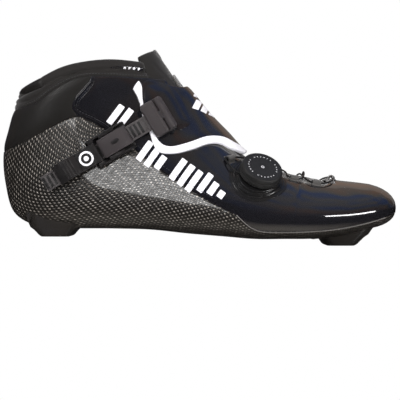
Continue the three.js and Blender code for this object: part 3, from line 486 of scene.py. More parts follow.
# %% Room
MIX_A, MIX_B, MIX_COLOR = 6, 7, 2  # the colour sockets of a Mix node
world = bpy.data.worlds.new("studio")
scene.world = world
world.use_nodes = True
nodes, links = world.node_tree.nodes, world.node_tree.links
nodes.clear()
seen, lit = nodes.new("ShaderNodeBackground"), nodes.new("ShaderNodeBackground")
seen.inputs["Color"].default_value = (1, 1, 1, 1)
seen.inputs["Strength"].default_value = 1.0
lit.inputs["Strength"].default_value = 1.0
where, split = nodes.new("ShaderNodeTexCoord"), nodes.new("ShaderNodeSeparateXYZ")
heights, tints = nodes.new("ShaderNodeValToRGB"), nodes.new("ShaderNodeTexNoise")
hues, toned = nodes.new("ShaderNodeValToRGB"), nodes.new("ShaderNodeMix")
links.new(where.outputs["Generated"], split.inputs[0])
shifted = nodes.new("ShaderNodeMath")
shifted.operation = "MULTIPLY_ADD"
shifted.inputs[1].default_value = shifted.inputs[2].default_value = 0.5
links.new(split.outputs["Z"], shifted.inputs[0])
links.new(shifted.outputs[0], heights.inputs["Fac"])
links.new(where.outputs["Generated"], tints.inputs["Vector"])
tints.inputs["Scale"].default_value = 1.7
tints.inputs["Detail"].default_value = 2.0
links.new(tints.outputs["Fac"], hues.inputs["Fac"])


def stops(ramp, values):
    """Colour stops of a ramp: (place, colour)."""
    ramp.color_ramp.elements.remove(ramp.color_ramp.elements[1])
    for n, (place, color) in enumerate(values):
        stop = ramp.color_ramp.elements[0] if n == 0 else ramp.color_ramp.elements.new(place)
        stop.position, stop.color = place, (*color, 1)


stops(heights, [(0.0, (0.5, 0.46, 0.4)), (0.06, (0.3, 0.27, 0.24)), (0.15, (0.022, 0.02, 0.018)),
                (0.5, (0.008, 0.007, 0.008)), (0.535, (0.055, 0.049, 0.046)), (0.64, (0.09, 0.081, 0.076)),
                (0.78, (0.17, 0.157, 0.146)), (1.0, (0.3, 0.285, 0.27))])
stops(hues, [(0.36, (0.2, 0.5, 1.55)), (0.45, (0.8, 0.88, 1.05)), (0.53, (1.0, 0.95, 0.9)),
             (0.66, (1.45, 0.9, 0.62))])
toned.data_type, toned.blend_type = "RGBA", "MULTIPLY"
upper = nodes.new("ShaderNodeMapRange")
HORIZON_LOW, HORIZON_HIGH, HUE_SHARE = -0.02, 0.12, 0.9
for socket, value in zip(upper.inputs[1:], (HORIZON_LOW, HORIZON_HIGH, 0.0, HUE_SHARE)):
    socket.default_value = value
links.new(split.outputs["Z"], upper.inputs[0])
links.new(upper.outputs[0], toned.inputs[0])
links.new(heights.outputs["Color"], toned.inputs[MIX_A])
links.new(hues.outputs["Color"], toned.inputs[MIX_B])
links.new(toned.outputs[MIX_COLOR], lit.inputs["Color"])
ray, mix = nodes.new("ShaderNodeLightPath"), nodes.new("ShaderNodeMixShader")
out = nodes.new("ShaderNodeOutputWorld")
links.new(ray.outputs["Is Camera Ray"], mix.inputs["Fac"])
links.new(lit.outputs[0], mix.inputs[1])
links.new(seen.outputs[0], mix.inputs[2])
links.new(mix.outputs[0], out.inputs["Surface"])
print("room:", len(nodes), "nodes")

# %% [markdown]
# ## Floor
# The floor is pale and matt. The camera sees it as white, and the gloss doesn't mirror it, so the
# sole keeps its dark edge.

# %% Floor
floor_mesh = bpy.data.meshes.new("floor")
FLOOR_HALF, FLOOR_DROP = 3.0, 0.0004
corners = [(FLOOR_HALF * x, FLOOR_HALF * y, 0) for x, y in ((-1, -1), (1, -1), (1, 1), (-1, 1))]
floor_mesh.from_pydata(corners, [], [(0, 1, 2, 3)])
floor = bpy.data.objects.new("floor", floor_mesh)
floor.location.z = -FLOOR_DROP
floor.visible_glossy = False
scene.collection.objects.link(floor)
paint = bpy.data.materials.new("pale floor")
paint.use_nodes = True
nodes, links = paint.node_tree.nodes, paint.node_tree.links
shader = nodes["Principled BSDF"]
shader.inputs["Base Color"].default_value = (0.8, 0.8, 0.8, 1)
shader.inputs["Roughness"].default_value = 0.9
glow = nodes.new("ShaderNodeEmission")
ray, mix = nodes.new("ShaderNodeLightPath"), nodes.new("ShaderNodeMixShader")
glow.inputs["Strength"].default_value = 1.0
links.new(ray.outputs["Is Camera Ray"], mix.inputs["Fac"])
links.new(shader.outputs[0], mix.inputs[1])
links.new(glow.outputs[0], mix.inputs[2])
links.new(mix.outputs[0], nodes["Material Output"].inputs["Surface"])
floor_mesh.materials.append(paint)
print("floor is", FLOOR_DROP / MM, "mm under the boot")

# %% [markdown]
# ## Soft lights
# Four wide panels light the matt finishes, and no gloss mirrors them. The narrow strips and cards
# are what the gloss shows: a streak on the toe, an edge on the quarter, a pale band from behind.
# The crease card lights the shell alone, so that its moulded crease reads as a bright triangle.

# %% Soft lights


def soft_light(name, place, target, size, power, color=(1, 1, 1), mirrored=True):
    """A soft panel; one that isn't mirrored lights the matt finishes but no gloss shows it."""
    lamp = bpy.data.lights.new(name, "AREA")
    lamp.shape = "RECTANGLE"
    lamp.size, lamp.size_y = size
    lamp.energy = power
    lamp.color = color
    thing = bpy.data.objects.new(name, lamp)
    thing.location = place
    thing.rotation_euler = (Vector(target) - Vector(place)).to_track_quat("-Z", "Y").to_euler()
    thing.visible_glossy = mirrored
    thing.visible_camera = False
    scene.collection.objects.link(thing)
    return thing


soft_light("key", (-0.5, -1.3, 0.9), (0, 0, 0.06), (0.9, 0.7), 20, (1, 0.97, 0.95), mirrored=False)
soft_light("front fill", (0.6, -1.2, 0.35), (0, 0, 0.05), (0.8, 0.6), 7, mirrored=False)
soft_light("overhead", (0.0, 0.1, 1.2), (0, 0, 0.05), (1.0, 0.7), 10, mirrored=False)
soft_light("back fill", (0.2, 1.2, 0.7), (0, 0, 0.05), (1.0, 0.7), 12, mirrored=False)
soft_light("toe strip", (0.8, -0.64, 0.018), (0.1, -0.03, 0.022), (0.6, 0.058), 3.4)
soft_light("edge strip", (-0.7, -0.8, 0.62), (-0.03, 0, 0.06), (0.12, 0.4), 1.6)
soft_light("back card", (0.15, 1.3, 0.55), (0, 0, 0.06), (1.8, 0.8), 0.45, (1, 0.93, 0.85))
crease_light = soft_light("crease card", (-0.25, -0.84, 0.2), (-0.03, -0.03, 0.04), (0.24, 0.28), 2.1)

# %% [markdown]
# ## Effects that several finishes share
# Real surfaces differ in small ways all over: fine grain in the gloss, dust in the hollows, rubbed
# edges, which are also painted paler as a highlight. Each such effect is one node group with its own
# inputs. A group gives only masks, colours and heights, and each finish uses them in its own way.
# Object coordinates are in metres, so a scale is a count per metre and every grain has its real size.

# %% Small tools for node groups


def feed(links, socket, value):
    """Links a socket to another, or sets its constant."""
    if isinstance(value, bpy.types.NodeSocket):
        links.new(value, socket)
    else:
        socket.default_value = value


class Group:
    """A shader node group that is written as a few lines of sums."""

    def __init__(self, name, inputs, outputs):
        self.tree = bpy.data.node_groups.new(name, "ShaderNodeTree")
        for label, kind, value in inputs:
            socket = self.tree.interface.new_socket(label, in_out="INPUT", socket_type=kind)
            if value is not None:
                socket.default_value = value
        for label, kind in outputs:
            self.tree.interface.new_socket(label, in_out="OUTPUT", socket_type=kind)
        self.into = self.tree.nodes.new("NodeGroupInput").outputs
        self.out = self.tree.nodes.new("NodeGroupOutput").inputs

    def put(self, socket, value):
        feed(self.tree.links, socket, value)

    def math(self, kind, *values):
        node = self.tree.nodes.new("ShaderNodeMath")
        node.operation = kind
        for socket, value in zip(node.inputs, values):
            self.put(socket, value)
        return node.outputs[0]

    def ramp(self, value, low, high, start=0.0, end=1.0):
        node = self.tree.nodes.new("ShaderNodeMapRange")
        node.interpolation_type = "SMOOTHSTEP"
        for socket, v in zip(node.inputs, (value, low, high, start, end)):
            self.put(socket, v)
        return node.outputs[0]

    def node(self, kind, outlet, **settings):
        node = self.tree.nodes.new(kind)
        for label, value in settings.items():
            if label in node.inputs:
                self.put(node.inputs[label], value)
            else:
                setattr(node, label, value)
        return node.outputs[outlet]


# %% Grain, dust, and rubbed edges with a painted highlight
grain = Group("fine grain", [("Scale", "NodeSocketFloat", 900.0), ("Amount", "NodeSocketFloat", 1.0)],
              [("Height", "NodeSocketFloat"), ("Patches", "NodeSocketFloat")])
where = grain.node("ShaderNodeTexCoord", "Object")
fine = grain.node("ShaderNodeTexNoise", "Fac", Vector=where, Scale=grain.into["Scale"], Detail=3.0)
broad = grain.node("ShaderNodeTexNoise", "Fac", Vector=where, Scale=22.0, Detail=3.0)
grain.put(grain.out["Height"], grain.math("MULTIPLY", fine, grain.into["Amount"]))
grain.put(grain.out["Patches"], broad)

edge_wear_highlight_and_dust = Group("rubbed edges with painted highlight, and dust", [("Reach", "NodeSocketFloat", 0.5)],
             [("Worn and lit edge", "NodeSocketFloat"), ("Dust", "NodeSocketFloat")])
where = edge_wear_highlight_and_dust.node("ShaderNodeTexCoord", "Object")
facing = edge_wear_highlight_and_dust.node("ShaderNodeNewGeometry", "Pointiness")
blotch = edge_wear_highlight_and_dust.node("ShaderNodeTexNoise", "Fac", Vector=where, Scale=160.0, Detail=4.0)
# Convex edges: a mask for rubbed wear that also paints a highlight where the edges catch the light.
edge = edge_wear_highlight_and_dust.ramp(facing, 0.52, 0.6)
broken = edge_wear_highlight_and_dust.ramp(blotch, 0.4, 0.6)
edge_wear_highlight_and_dust.put(edge_wear_highlight_and_dust.out["Worn and lit edge"], edge_wear_highlight_and_dust.math("MULTIPLY", edge_wear_highlight_and_dust.math("MULTIPLY", edge, broken), edge_wear_highlight_and_dust.into["Reach"]))
hollow = edge_wear_highlight_and_dust.ramp(facing, 0.5, 0.44)
edge_wear_highlight_and_dust.put(edge_wear_highlight_and_dust.out["Dust"], edge_wear_highlight_and_dust.math("MULTIPLY", hollow, edge_wear_highlight_and_dust.ramp(blotch, 0.35, 0.7)))
print("shared effects:", grain.tree.name, "and", edge_wear_highlight_and_dust.tree.name)

# %% [markdown]
# ### Woven cloth, coarse and fine
# Carbon twill, webbing and mesh lining are all the same idea at different sizes: two sets of yarns
# that pass over and under each other. The group splits the arc coordinates into cells, decides
# which yarn is on top, and gives each yarn a round back. An image of cloth would be simpler, but
# it would stretch, and this keeps its pitch on every layer.

# %% The weave group
weave = Group("weave", [("Pitch along", "NodeSocketFloat", 0.0024),
                        ("Pitch around", "NodeSocketFloat", 0.0019), ("Twill", "NodeSocketFloat", 1.0)],
              [("Over", "NodeSocketFloat"), ("Height", "NodeSocketFloat"), ("Crown", "NodeSocketFloat"),
               ("Cell", "NodeSocketFloat")])
arc = weave.node("ShaderNodeUVMap", "UV", uv_map="arc")
split = weave.tree.nodes.new("ShaderNodeSeparateXYZ")
weave.put(split.inputs[0], arc)
u = weave.math("DIVIDE", split.outputs["X"], weave.into["Pitch along"])
v = weave.math("DIVIDE", split.outputs["Y"], weave.into["Pitch around"])
column, row = weave.math("FLOOR", u), weave.math("FLOOR", v)
shift = weave.math("MULTIPLY", row, weave.into["Twill"])
step = weave.math("FLOORED_MODULO", weave.math("ADD", column, shift), 4.0)
plain = weave.math("FLOORED_MODULO", weave.math("ADD", column, row), 2.0)
twilled = weave.math("LESS_THAN", step, 1.5)
over = weave.math("ADD", weave.math("MULTIPLY", twilled, weave.into["Twill"]),
                  weave.math("MULTIPLY", plain, weave.math("SUBTRACT", 1.0, weave.into["Twill"])))
along_cell = weave.math("SINE", weave.math("MULTIPLY", weave.math("FRACT", u), math.pi))
around_cell = weave.math("SINE", weave.math("MULTIPLY", weave.math("FRACT", v), math.pi))
crown = weave.math("MULTIPLY", weave.math("POWER", along_cell, 0.6), around_cell)
height = weave.math("MULTIPLY", crown, weave.math("ADD", 0.35, weave.math("MULTIPLY", over, 0.65)))
cell = weave.node("ShaderNodeTexWhiteNoise", "Value", noise_dimensions="2D",
                  Vector=weave.node("ShaderNodeCombineXYZ", 0, X=column, Y=row))
for label, value in (("Over", over), ("Height", height), ("Crown", crown), ("Cell", cell)):
    weave.put(weave.out[label], value)
print("node groups:", [g.name for g in bpy.data.node_groups])

# %% [markdown]
# ## Finishes
# A finish starts from a physically plausible shader and then gets what makes it that material:
# the colour varies a little, the roughness varies more, and the bump has the real grain size.

# %% One recipe for a finish
DUST_TONE = (0.16, 0.15, 0.14)


def finish(name, color, rough, metal=0.0, coat=0.0, coat_rough=0.03, sheen=0.0, specular=0.5,
           grain_scale=900.0, grain_depth=0.00002, patches=0.25, edge_wear_highlight=0.35, dusty=0.2, edge_wear_highlight_color=None,
           cloth=None, cloth_depth=0.0002, crisp=2.0, uneven_coat=0.0):
    """A material; color is its darkest tone, and cloth is (pitch along, pitch around, twill, tone
    of the painted highlight on the yarns' crowns). The grain's depth and the cloth's depth are in metres."""
    material = bpy.data.materials.new(name)
    material.use_nodes = True
    tree = material.node_tree
    nodes, links = tree.nodes, tree.links
    shader = nodes["Principled BSDF"]
    for label, value in (("Metallic", metal), ("Coat Weight", coat), ("Coat Roughness", coat_rough),
                         ("Sheen Weight", sheen), ("Specular IOR Level", specular)):
        shader.inputs[label].default_value = value
    shader.inputs["Sheen Roughness"].default_value = 0.4

    def use(group, **values):
        node = nodes.new("ShaderNodeGroup")
        node.node_tree = group.tree
        for label, value in values.items():
            node.inputs[label.replace("_", " ")].default_value = value
        return node.outputs

    def blend(a, b, share):
        node = nodes.new("ShaderNodeMix")
        node.data_type = "RGBA"
        for socket, value in ((0, share), (MIX_A, a), (MIX_B, b)):
            feed(links, node.inputs[socket], value)
        return node.outputs[MIX_COLOR]

    def calc(kind, *values):
        node = nodes.new("ShaderNodeMath")
        node.operation = kind
        for socket, value in zip(node.inputs, values):
            feed(links, socket, value)
        return node.outputs[0]

    tint = lambda c, k=1.0: (c[0] * k, c[1] * k, c[2] * k, 1.0)
    skin_grain = use(grain, Scale=grain_scale)
    marks = use(edge_wear_highlight_and_dust, Reach=edge_wear_highlight)
    shade = blend(tint(color), tint(color, 1 + 2.2 * patches), skin_grain["Patches"])
    roughness = calc("MULTIPLY_ADD", skin_grain["Patches"], rough * patches * 1.6,
                     rough * (1 - patches * 0.8))
    if cloth:
        pitch_along, pitch_around, twill, pale = cloth
        yarns = use(weave, Pitch_along=pitch_along, Pitch_around=pitch_around, Twill=twill)
        # The crowns of the over yarns are painted paler with the cloth's tone: a painted highlight that
        # stands for the glint of light on each yarn.
        glint = calc("MULTIPLY", calc("POWER", yarns["Crown"], crisp), yarns["Over"])
        painted_glint = calc("MULTIPLY", glint, calc("MULTIPLY_ADD", yarns["Cell"], 0.75, 0.25))
        shade = blend(shade, tint(pale), painted_glint)
        if uneven_coat:
            thick = calc("MULTIPLY_ADD", calc("MULTIPLY", yarns["Crown"], yarns["Cell"]),
                         uneven_coat * coat, (1 - uneven_coat) * coat)
            links.new(thick, shader.inputs["Coat Weight"])
    # Convex edges are painted paler: partly rubbed wear, partly a painted highlight.
    edge_wear_highlight_tone = edge_wear_highlight_color or [min(1.0, c * 2.2 + 0.03) for c in color]
    shade = blend(shade, tint(edge_wear_highlight_tone), marks["Worn and lit edge"])
    shade = blend(shade, tint(DUST_TONE), calc("MULTIPLY", marks["Dust"], dusty * 0.35))
    links.new(shade, shader.inputs["Base Color"])
    links.new(calc("ADD", roughness, calc("MULTIPLY", marks["Worn and lit edge"], 0.2)), shader.inputs["Roughness"])
    bump = nodes.new("ShaderNodeBump")
    bump.inputs["Distance"].default_value = grain_depth
    bump.inputs["Strength"].default_value = 1.0
    links.new(skin_grain["Height"], bump.inputs["Height"])
    if cloth:
        relief = nodes.new("ShaderNodeBump")
        relief.inputs["Distance"].default_value = cloth_depth
        links.new(yarns["Height"], relief.inputs["Height"])
        links.new(bump.outputs[0], relief.inputs["Normal"])
        bump = relief
    links.new(bump.outputs[0], shader.inputs["Normal"])
    return material


# %% The boot's finishes
carbon = finish("lacquered carbon twill", (0.0085, 0.0077, 0.0067), 0.34, metal=0.25, coat=1.0,
                coat_rough=0.045, grain_depth=0.000006, edge_wear_highlight=0.2, dusty=0.0,
                cloth=(0.0019, 0.00145, 0.0, (0.44, 0.4, 0.355)), crisp=3.4, uneven_coat=0.75)
carbon_plain = finish("lacquered carbon, plain", (0.013, 0.0118, 0.0105), 0.3, metal=0.1, coat=0.6,
                      coat_rough=0.12, grain_scale=1500.0, edge_wear_highlight=0.4, dusty=0.3)
patent = finish("black patent", (0.006, 0.006, 0.0075), 0.12, coat=1.0, coat_rough=0.02, grain_scale=55.0,
                grain_depth=0.00006, patches=0.2, edge_wear_highlight=0.0, dusty=0.0)
satin = finish("satin black synthetic", (0.0075, 0.007, 0.0064), 0.42, grain_scale=1800.0,
               grain_depth=0.00003, patches=0.3, coat=0.15, coat_rough=0.4)
suede = finish("soft black microfibre", (0.009, 0.0082, 0.0076), 0.66, sheen=0.22, grain_scale=2600.0,
               grain_depth=0.00006, patches=0.35)
mesh_cloth = finish("black lining mesh", (0.02, 0.019, 0.018), 0.85, sheen=0.3, grain_depth=0.00004,
                    cloth=(0.0011, 0.0011, 0.0, (0.075, 0.072, 0.07)), cloth_depth=0.00025)
webbing = finish("grey webbing", (0.045, 0.043, 0.041), 0.7, sheen=0.3, grain_depth=0.00004,
                 cloth=(0.0009, 0.0007, 0.0, (0.3, 0.29, 0.28)), cloth_depth=0.00022, patches=0.3)
white = finish("white binding", (0.78, 0.78, 0.82), 0.32, grain_scale=1200.0, patches=0.05, edge_wear_highlight=0.0,
               coat=0.4, coat_rough=0.2)
moulded = finish("moulded nylon", (0.027, 0.0235, 0.0245), 0.4, grain_scale=2400.0, grain_depth=0.00003,
                 edge_wear_highlight=0.5)
buckle_black = finish("black nylon", (0.0085, 0.008, 0.0082), 0.36, grain_scale=2400.0, edge_wear_highlight=0.7,
                      edge_wear_highlight_color=(0.07, 0.066, 0.066))
rubbed = finish("dark ladder nylon", (0.036, 0.033, 0.0335), 0.36, grain_scale=2400.0, patches=0.3,
                edge_wear_highlight=0.6)
dial_black = finish("dial nylon", (0.0085, 0.0085, 0.0085), 0.5, grain_scale=3000.0, grain_depth=0.00003,
                    patches=0.3, edge_wear_highlight=0.3)
dial_gloss = finish("glossy dial nylon", (0.006, 0.006, 0.0062), 0.22, grain_scale=2600.0,
                    grain_depth=0.00001, patches=0.2, edge_wear_highlight=0.2)
cord_black = finish("black lace", (0.006, 0.006, 0.006), 0.5, grain_scale=2200.0, grain_depth=0.0001,
                    patches=0.3)
steel = finish("zinc plated steel", (0.42, 0.42, 0.43), 0.3, metal=1.0, grain_scale=1500.0,
               grain_depth=0.00001, edge_wear_highlight_color=(0.7, 0.7, 0.7))
aluminium = finish("machined aluminium", (0.6, 0.61, 0.62), 0.34, metal=1.0, grain_scale=1500.0,
                   grain_depth=0.00001, edge_wear_highlight_color=(0.85, 0.85, 0.86))
thread = finish("black sewing thread", (0.03, 0.03, 0.032), 0.5, grain_scale=4000.0, grain_depth=0.00004)
insole_foam = finish("insole cloth", (0.03, 0.029, 0.028), 0.8, sheen=0.2, grain_scale=1600.0,
                     grain_depth=0.0001)
print_grey = finish("pale grey print", (0.3, 0.3, 0.31), 0.45, grain_scale=1500.0, grain_depth=0.00001,
                    edge_wear_highlight=0.0)
print("finishes:", len(bpy.data.materials))


def belongs(piece, material, slot, *nodes, body="boot"):
    """Paints a piece, sets what it rides on, and says which node of the frame it stands for."""
    piece.data.materials.clear()
    piece.data.materials.append(material)
    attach(piece, body)
    if nodes:
        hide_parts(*nodes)
    return piece

# %% [markdown]
# ## Carbon shell
# The shell is the boot's chassis: a heel cup that climbs to the ankle, and a thin tray round the
# forefoot. A moulded crease runs down its side from under the buckle to the arch, which stiffens
# it and catches the light. It is made from the form with a fine net, and the crease is a small
# change of its outer level. The twill comes from the material, but the crease is real shape.

# %% Shell with its crease
CREASE = smooth([(-120, 58), (-96, 49.5), (-77, 40.5), (-54, 35.5), (-30, 31.5), (-8, 28), (16, 24)])
CREASE_DEPTH = 1.1
CREASE_WIDTH = 24.0
CREASE_REAR, CREASE_FRONT, CREASE_FADE = -100, 22, 30


def crease_level(base, normal, away):
    """The wall leans in over the crease and swells under it, and both fade out."""
    rise = above(CREASE)(base)
    ends = (np.clip((base[:, 0] - CREASE_REAR) / CREASE_FADE, 0, 1)
            * np.clip((CREASE_FRONT - base[:, 0]) / CREASE_FADE, 0, 1))
    side = np.clip(-normal[:, 1] * 1.4, 0, 1)
    over = np.clip(rise / CREASE_WIDTH, 0, 1)
    under = np.clip(-rise / CREASE_WIDTH, 0, 1)
    fold = np.where(rise > 0, 0.35 - over * 1.2 + over ** 3 * 0.85, 0.35 * (1 - under) ** 2)
    return CREASE_DEPTH * fold * ends * side


shell_params, shell_faces = trimmed([minus(above(SHELL_EDGE, -0.5))], per_station=8, around=190)
shell = layer("shell_skin", shell_params, shell_faces, crease_level, lambda b, n, a: -wall_at(n),
              roll=0.6, steps=5)
belongs(shell, carbon, "carbon")
only_shell = bpy.data.collections.new("lit by the crease card")
only_shell.objects.link(shell)
crease_light.light_linking.receiver_collection = only_shell
print("shell:", len(shell.data.vertices), "points")

# %% [markdown]
# ### Mounting blocks
# Each block is a short pad that grows out of the sole and ends in a flat face, with a pocket for
# the aluminium insert. A stack of rounded rectangles makes it, from the face up into the sole, so
# its slopes stay soft and its face stays flat. The last three rings are laid on the shell, one
# just inside it and two above its skin, so the slope runs out without a step. The pocket is cut
# out with a boolean, which is safe here because the block is a simple closed solid.

# %% Blocks with insert pockets
HEEL_BOLT_X, FORE_BOLT_X, HEEL_BLOCK_Z = -98.5, 96.5, 6.2
BLOCK_FACE, BLOCK_WIDTH = 20.6, 44.0
INSERT_LONG, INSERT_WIDE, INSERT_HIGH = 36.0, 15.0, 6.4
# share of the block's height, and share of the slope's length that it has run out by then
BLOCK_SLOPE = ((0, -0.12), (0.05, -0.03), (0.14, 0.08), (0.35, 0.25), (0.6, 0.47), (0.8, 0.72),
               (0.93, 0.98), (1, 1.2), (1.12, 1.3))
LAID = (-0.5, 0.2, 0.9)  # mm over the shell's outside
SHADE_ANGLE = math.radians(42)


def rounded_ring(x0, x1, half, corner, z, count=10):
    """Points of a rectangle with round corners, in mm, going round once."""
    ring = []
    for cx, cy, start in ((x1 - corner, half - corner, 0), (x0 + corner, half - corner, 90),
                          (x0 + corner, corner - half, 180), (x1 - corner, corner - half, 270)):
        for k in range(count + 1):
            angle = math.radians(start + 90 * k / count)
            ring.append((cx + corner * math.cos(angle), cy + corner * math.sin(angle), z))
    return ring


def stacked(name, rings, frame_matrix=None):
    """A closed solid through rings of equal count, capped at both ends."""
    count = len(rings[0])
    points = [p for ring in rings for p in ring]
    faces = [tuple(range(count)), tuple(len(points) - 1 - k for k in range(count))]
    for r in range(len(rings) - 1):
        for k in range(count):
            a, b = r * count + k, r * count + (k + 1) % count
            faces.append((a, b, b + count, a + count))
    points = in_frame(frame_matrix, points) if frame_matrix else np.array(points) * MM
    return make_mesh(name, points, faces)


def apply_modifiers(piece):
    """Bakes a piece's modifiers into its own mesh."""
    graph = bpy.context.evaluated_depsgraph_get()
    done = bpy.data.meshes.new_from_object(piece.evaluated_get(graph))
    old = piece.data
    piece.modifiers.clear()
    piece.data = done
    bpy.data.meshes.remove(old)
    return piece


def carve(piece, *tools, keep=False):
    """Cuts the tools' solids out of a piece."""
    for tool in tools:
        cut = piece.modifiers.new("cut", "BOOLEAN")
        cut.operation, cut.solver, cut.object = "DIFFERENCE", "EXACT", tool
        apply_modifiers(piece)
        if not keep:
            bpy.data.objects.remove(tool)
    return piece


def soften(piece, width, segments=3, angle=30):
    """Rounds the sharp edges, and shades the rest by its angles."""
    edge = piece.modifiers.new("edge", "BEVEL")
    edge.width, edge.segments, edge.limit_method = width * MM, segments, "ANGLE"
    edge.angle_limit = math.radians(angle)
    edge.use_clamp_overlap = True
    edge.harden_normals = False
    apply_modifiers(piece)
    piece.data.shade_smooth()
    piece.data.set_sharp_from_angle(angle=SHADE_ANGLE)
    return piece


def block(name, bolt_x, face_z, rear, front, top):
    """rear and front are how far the slopes run out under the sole; they flare where they meet it."""
    x0, x1 = bolt_x - BLOCK_FACE / 2, bolt_x + BLOCK_FACE / 2
    rings = [rounded_ring(x0 - rear * spread, x1 + front * spread, BLOCK_WIDTH / 2 - 0.2 - abs(spread),
                          5 + 3 * spread, face_z + (top - face_z) * share)
             for share, spread in BLOCK_SLOPE]
    for lift, ring in zip(LAID, rings[-3:]):
        for k, (x, y, z) in enumerate(ring):
            hit, place, _, _ = shell.ray_cast(Vector((x, y + CENTRE_Y, -20)) * MM, Vector((0, 0, 1)))
            if hit and place.z / MM < top + 9:
                ring[k] = (x, y, place.z / MM + lift)
    piece = stacked(name, rings)
    half = INSERT_WIDE / 2 + GAP
    pocket = stacked("pocket", [rounded_ring(bolt_x - half, bolt_x + half, INSERT_LONG / 2 + GAP, 0.4, z)
                                for z in (face_z - 2, face_z + INSERT_HIGH + GAP)])
    return belongs(soften(carve(piece, pocket), 0.25, 2, 50), carbon_plain, "carbon")


heel_block = block("heel_block", HEEL_BOLT_X, HEEL_BLOCK_Z, 9.6, 8.4, 14.2)
fore_block = block("forefoot_block", FORE_BOLT_X, 0, 8.5, 12, 9.6)
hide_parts("carbon_shell")
print("blocks:", heel_block.name, fore_block.name)

# %% [markdown]
# ## Glossy panels
# Three patent panels cover the foot: the vamp over the toes and a quarter on each side. Where they
# meet the shell they tuck under its edge, and their free edges are turned over and stitched, so
# they end in a rounded double line. Their surface isn't quite even, because the film is stretched
# over foam, and that is what bends the reflections.

# %% Vamp, quarters and heel panel
SKIN = WALL
EYESTAY_WIDE, EYESTAY_REAR = 5.0, 8.0
throat_edge = minus(inside_throat(0))
eyestay_room = lambda p: np.maximum(-inside_throat(EYESTAY_WIDE + GAP)(p), EYESTAY_REAR - p[:, 0])
vamp_seam = smooth([(72, 170), (70, 60), (58, 0), (58, -20)], 30)
shell_rise = above(SHELL_EDGE, 0.7)
collar_fall = minus(above(COLLAR_SEAM, -0.3))
wave = lambda b: (0.18 * np.sin(b[:, 0] * 0.11 + 1.3) * np.sin(b[:, 2] * 0.16 + 0.4)
                  + 0.1 * np.sin(b[:, 0] * 0.23 + b[:, 1] * 0.2))


PULLED = 5.0  # mm from the edge, where the film is at its full height


def stretched(swell, edges):
    """A film over foam: full in the middle of the panel, pulled down along its edges."""
    def level(base, normal, away):
        near = np.clip(np.min([f(base) for f in edges], axis=0) / PULLED, 0, 1)
        return swell * np.sin(near * math.pi / 2) - 0.05 + wave(base) * near
    return level


def panel(name, material, slot, node, fields, swell, lift, **span):
    """A piece of the upper, cut from the form by its fields."""
    params, faces = trimmed(fields, **span)
    rule = stretched(swell, fields)
    piece = layer(name, params, faces, lambda b, n, a: rule(b, n, a) + lift, -SKIN, roll=0.7, steps=5)
    belongs(piece, material, slot, node)
    print(name, len(piece.data.vertices), "points")
    return piece


quarter_fields = [shell_rise, collar_fall, throat_edge, eyestay_room, ahead_of(QUARTER_REAR, 0.2),
                  minus(ahead_of(vamp_seam, -0.3))]
QUARTER_SWELL, QUARTER_LIFT = 0.45, 0.2
panel("vamp_panel", patent, "patent", "vamp",
      [shell_rise, throat_edge, eyestay_room, ahead_of(vamp_seam, -0.6)], swell=0.3, lift=0.25,
      along=(-1, 5))
for name, node, side, turn in (("outer_quarter", "quarter_lateral", lateral_side, (0.05, 0.6)),
                               ("inner_quarter", "quarter_medial", medial_side, (0.4, 0.95))):
    panel(name, patent, "patent", node, quarter_fields + [side], QUARTER_SWELL, QUARTER_LIFT,
          along=(1.5, 14), turn=turn)
panel("back_panel", satin, "satin_synthetic", "heel_panel",
      [shell_rise, collar_fall, throat_edge, minus(ahead_of(QUARTER_REAR, -0.6))], swell=0.5, lift=-0.15,
      along=(7.5, LAST), turn=(0.02, 0.98))

# %% [markdown]
# ## Webbing round the throat
# A grey woven tape edges the opening from the strap forward, so that the lace loops have something
# strong to be sewn to. It is a thin layer between two copies of the throat's line.

# %% Eyestay tape
tape_fields = [inside_throat(EYESTAY_WIDE), throat_edge, lambda p: p[:, 0] - EYESTAY_REAR - GAP]
params, faces = trimmed(tape_fields, along=(-0.5, 8), turn=(0.3, 0.7), per_station=12, around=220)
tape = layer("throat_tape", params, faces, 0.35, -1.1, roll=0.4)
belongs(tape, webbing, "webbing", "eyestay")
print("tape:", len(tape.data.vertices), "points")

# %% [markdown]
# ## Padding by cloth simulation
# Collar, tongue, lining and ankle pads are foam in a skin of cloth. Foam swells until its cover is
# tight, so it is round between its seams. Each pad starts a little thin, is filled by a pressure,
# and may only move a little way, because a thin boot pad never balloons. Modelling the swell by
# hand would work too, but the cloth finds the small folds in a tight curve by itself.

# %% Fill a pad
PAD_FRAMES, PRESSURE = 20, 4.0


def fill(piece, cap):
    """Swells a closed piece as a filled cover; no point moves more than cap mm."""
    mesh = piece.data
    start = np.empty(len(mesh.vertices) * 3)
    mesh.vertices.foreach_get("co", start)
    start = start.reshape(-1, 3)
    cloth = piece.modifiers.new("cloth", "CLOTH")
    settings = cloth.settings
    settings.quality = 4
    settings.mass = 0.05
    settings.use_pressure = True
    settings.uniform_pressure_force = PRESSURE
    settings.effector_weights.gravity = 0
    settings.tension_stiffness = settings.compression_stiffness = 20
    settings.shear_stiffness = 10
    settings.bending_stiffness = 0.4
    cloth.collision_settings.use_collision = False
    cloth.point_cache.frame_start, cloth.point_cache.frame_end = 1, PAD_FRAMES
    for step in range(1, PAD_FRAMES + 1):
        scene.frame_set(step)
    graph = bpy.context.evaluated_depsgraph_get()
    swollen = piece.evaluated_get(graph).data
    moved = np.empty(len(swollen.vertices) * 3)
    swollen.vertices.foreach_get("co", moved)
    way = moved.reshape(-1, 3) - start
    far = np.linalg.norm(way, axis=1)[:, None]
    way *= np.minimum(1, cap * MM / np.maximum(far, 1e-9))
    piece.modifiers.clear()
    mesh.vertices.foreach_set("co", (start + way).ravel())
    mesh.update()
    scene.frame_set(1)
    print(piece.name, "swelled by up to", round(float(np.minimum(far, cap * MM).max()) / MM, 2), "mm")


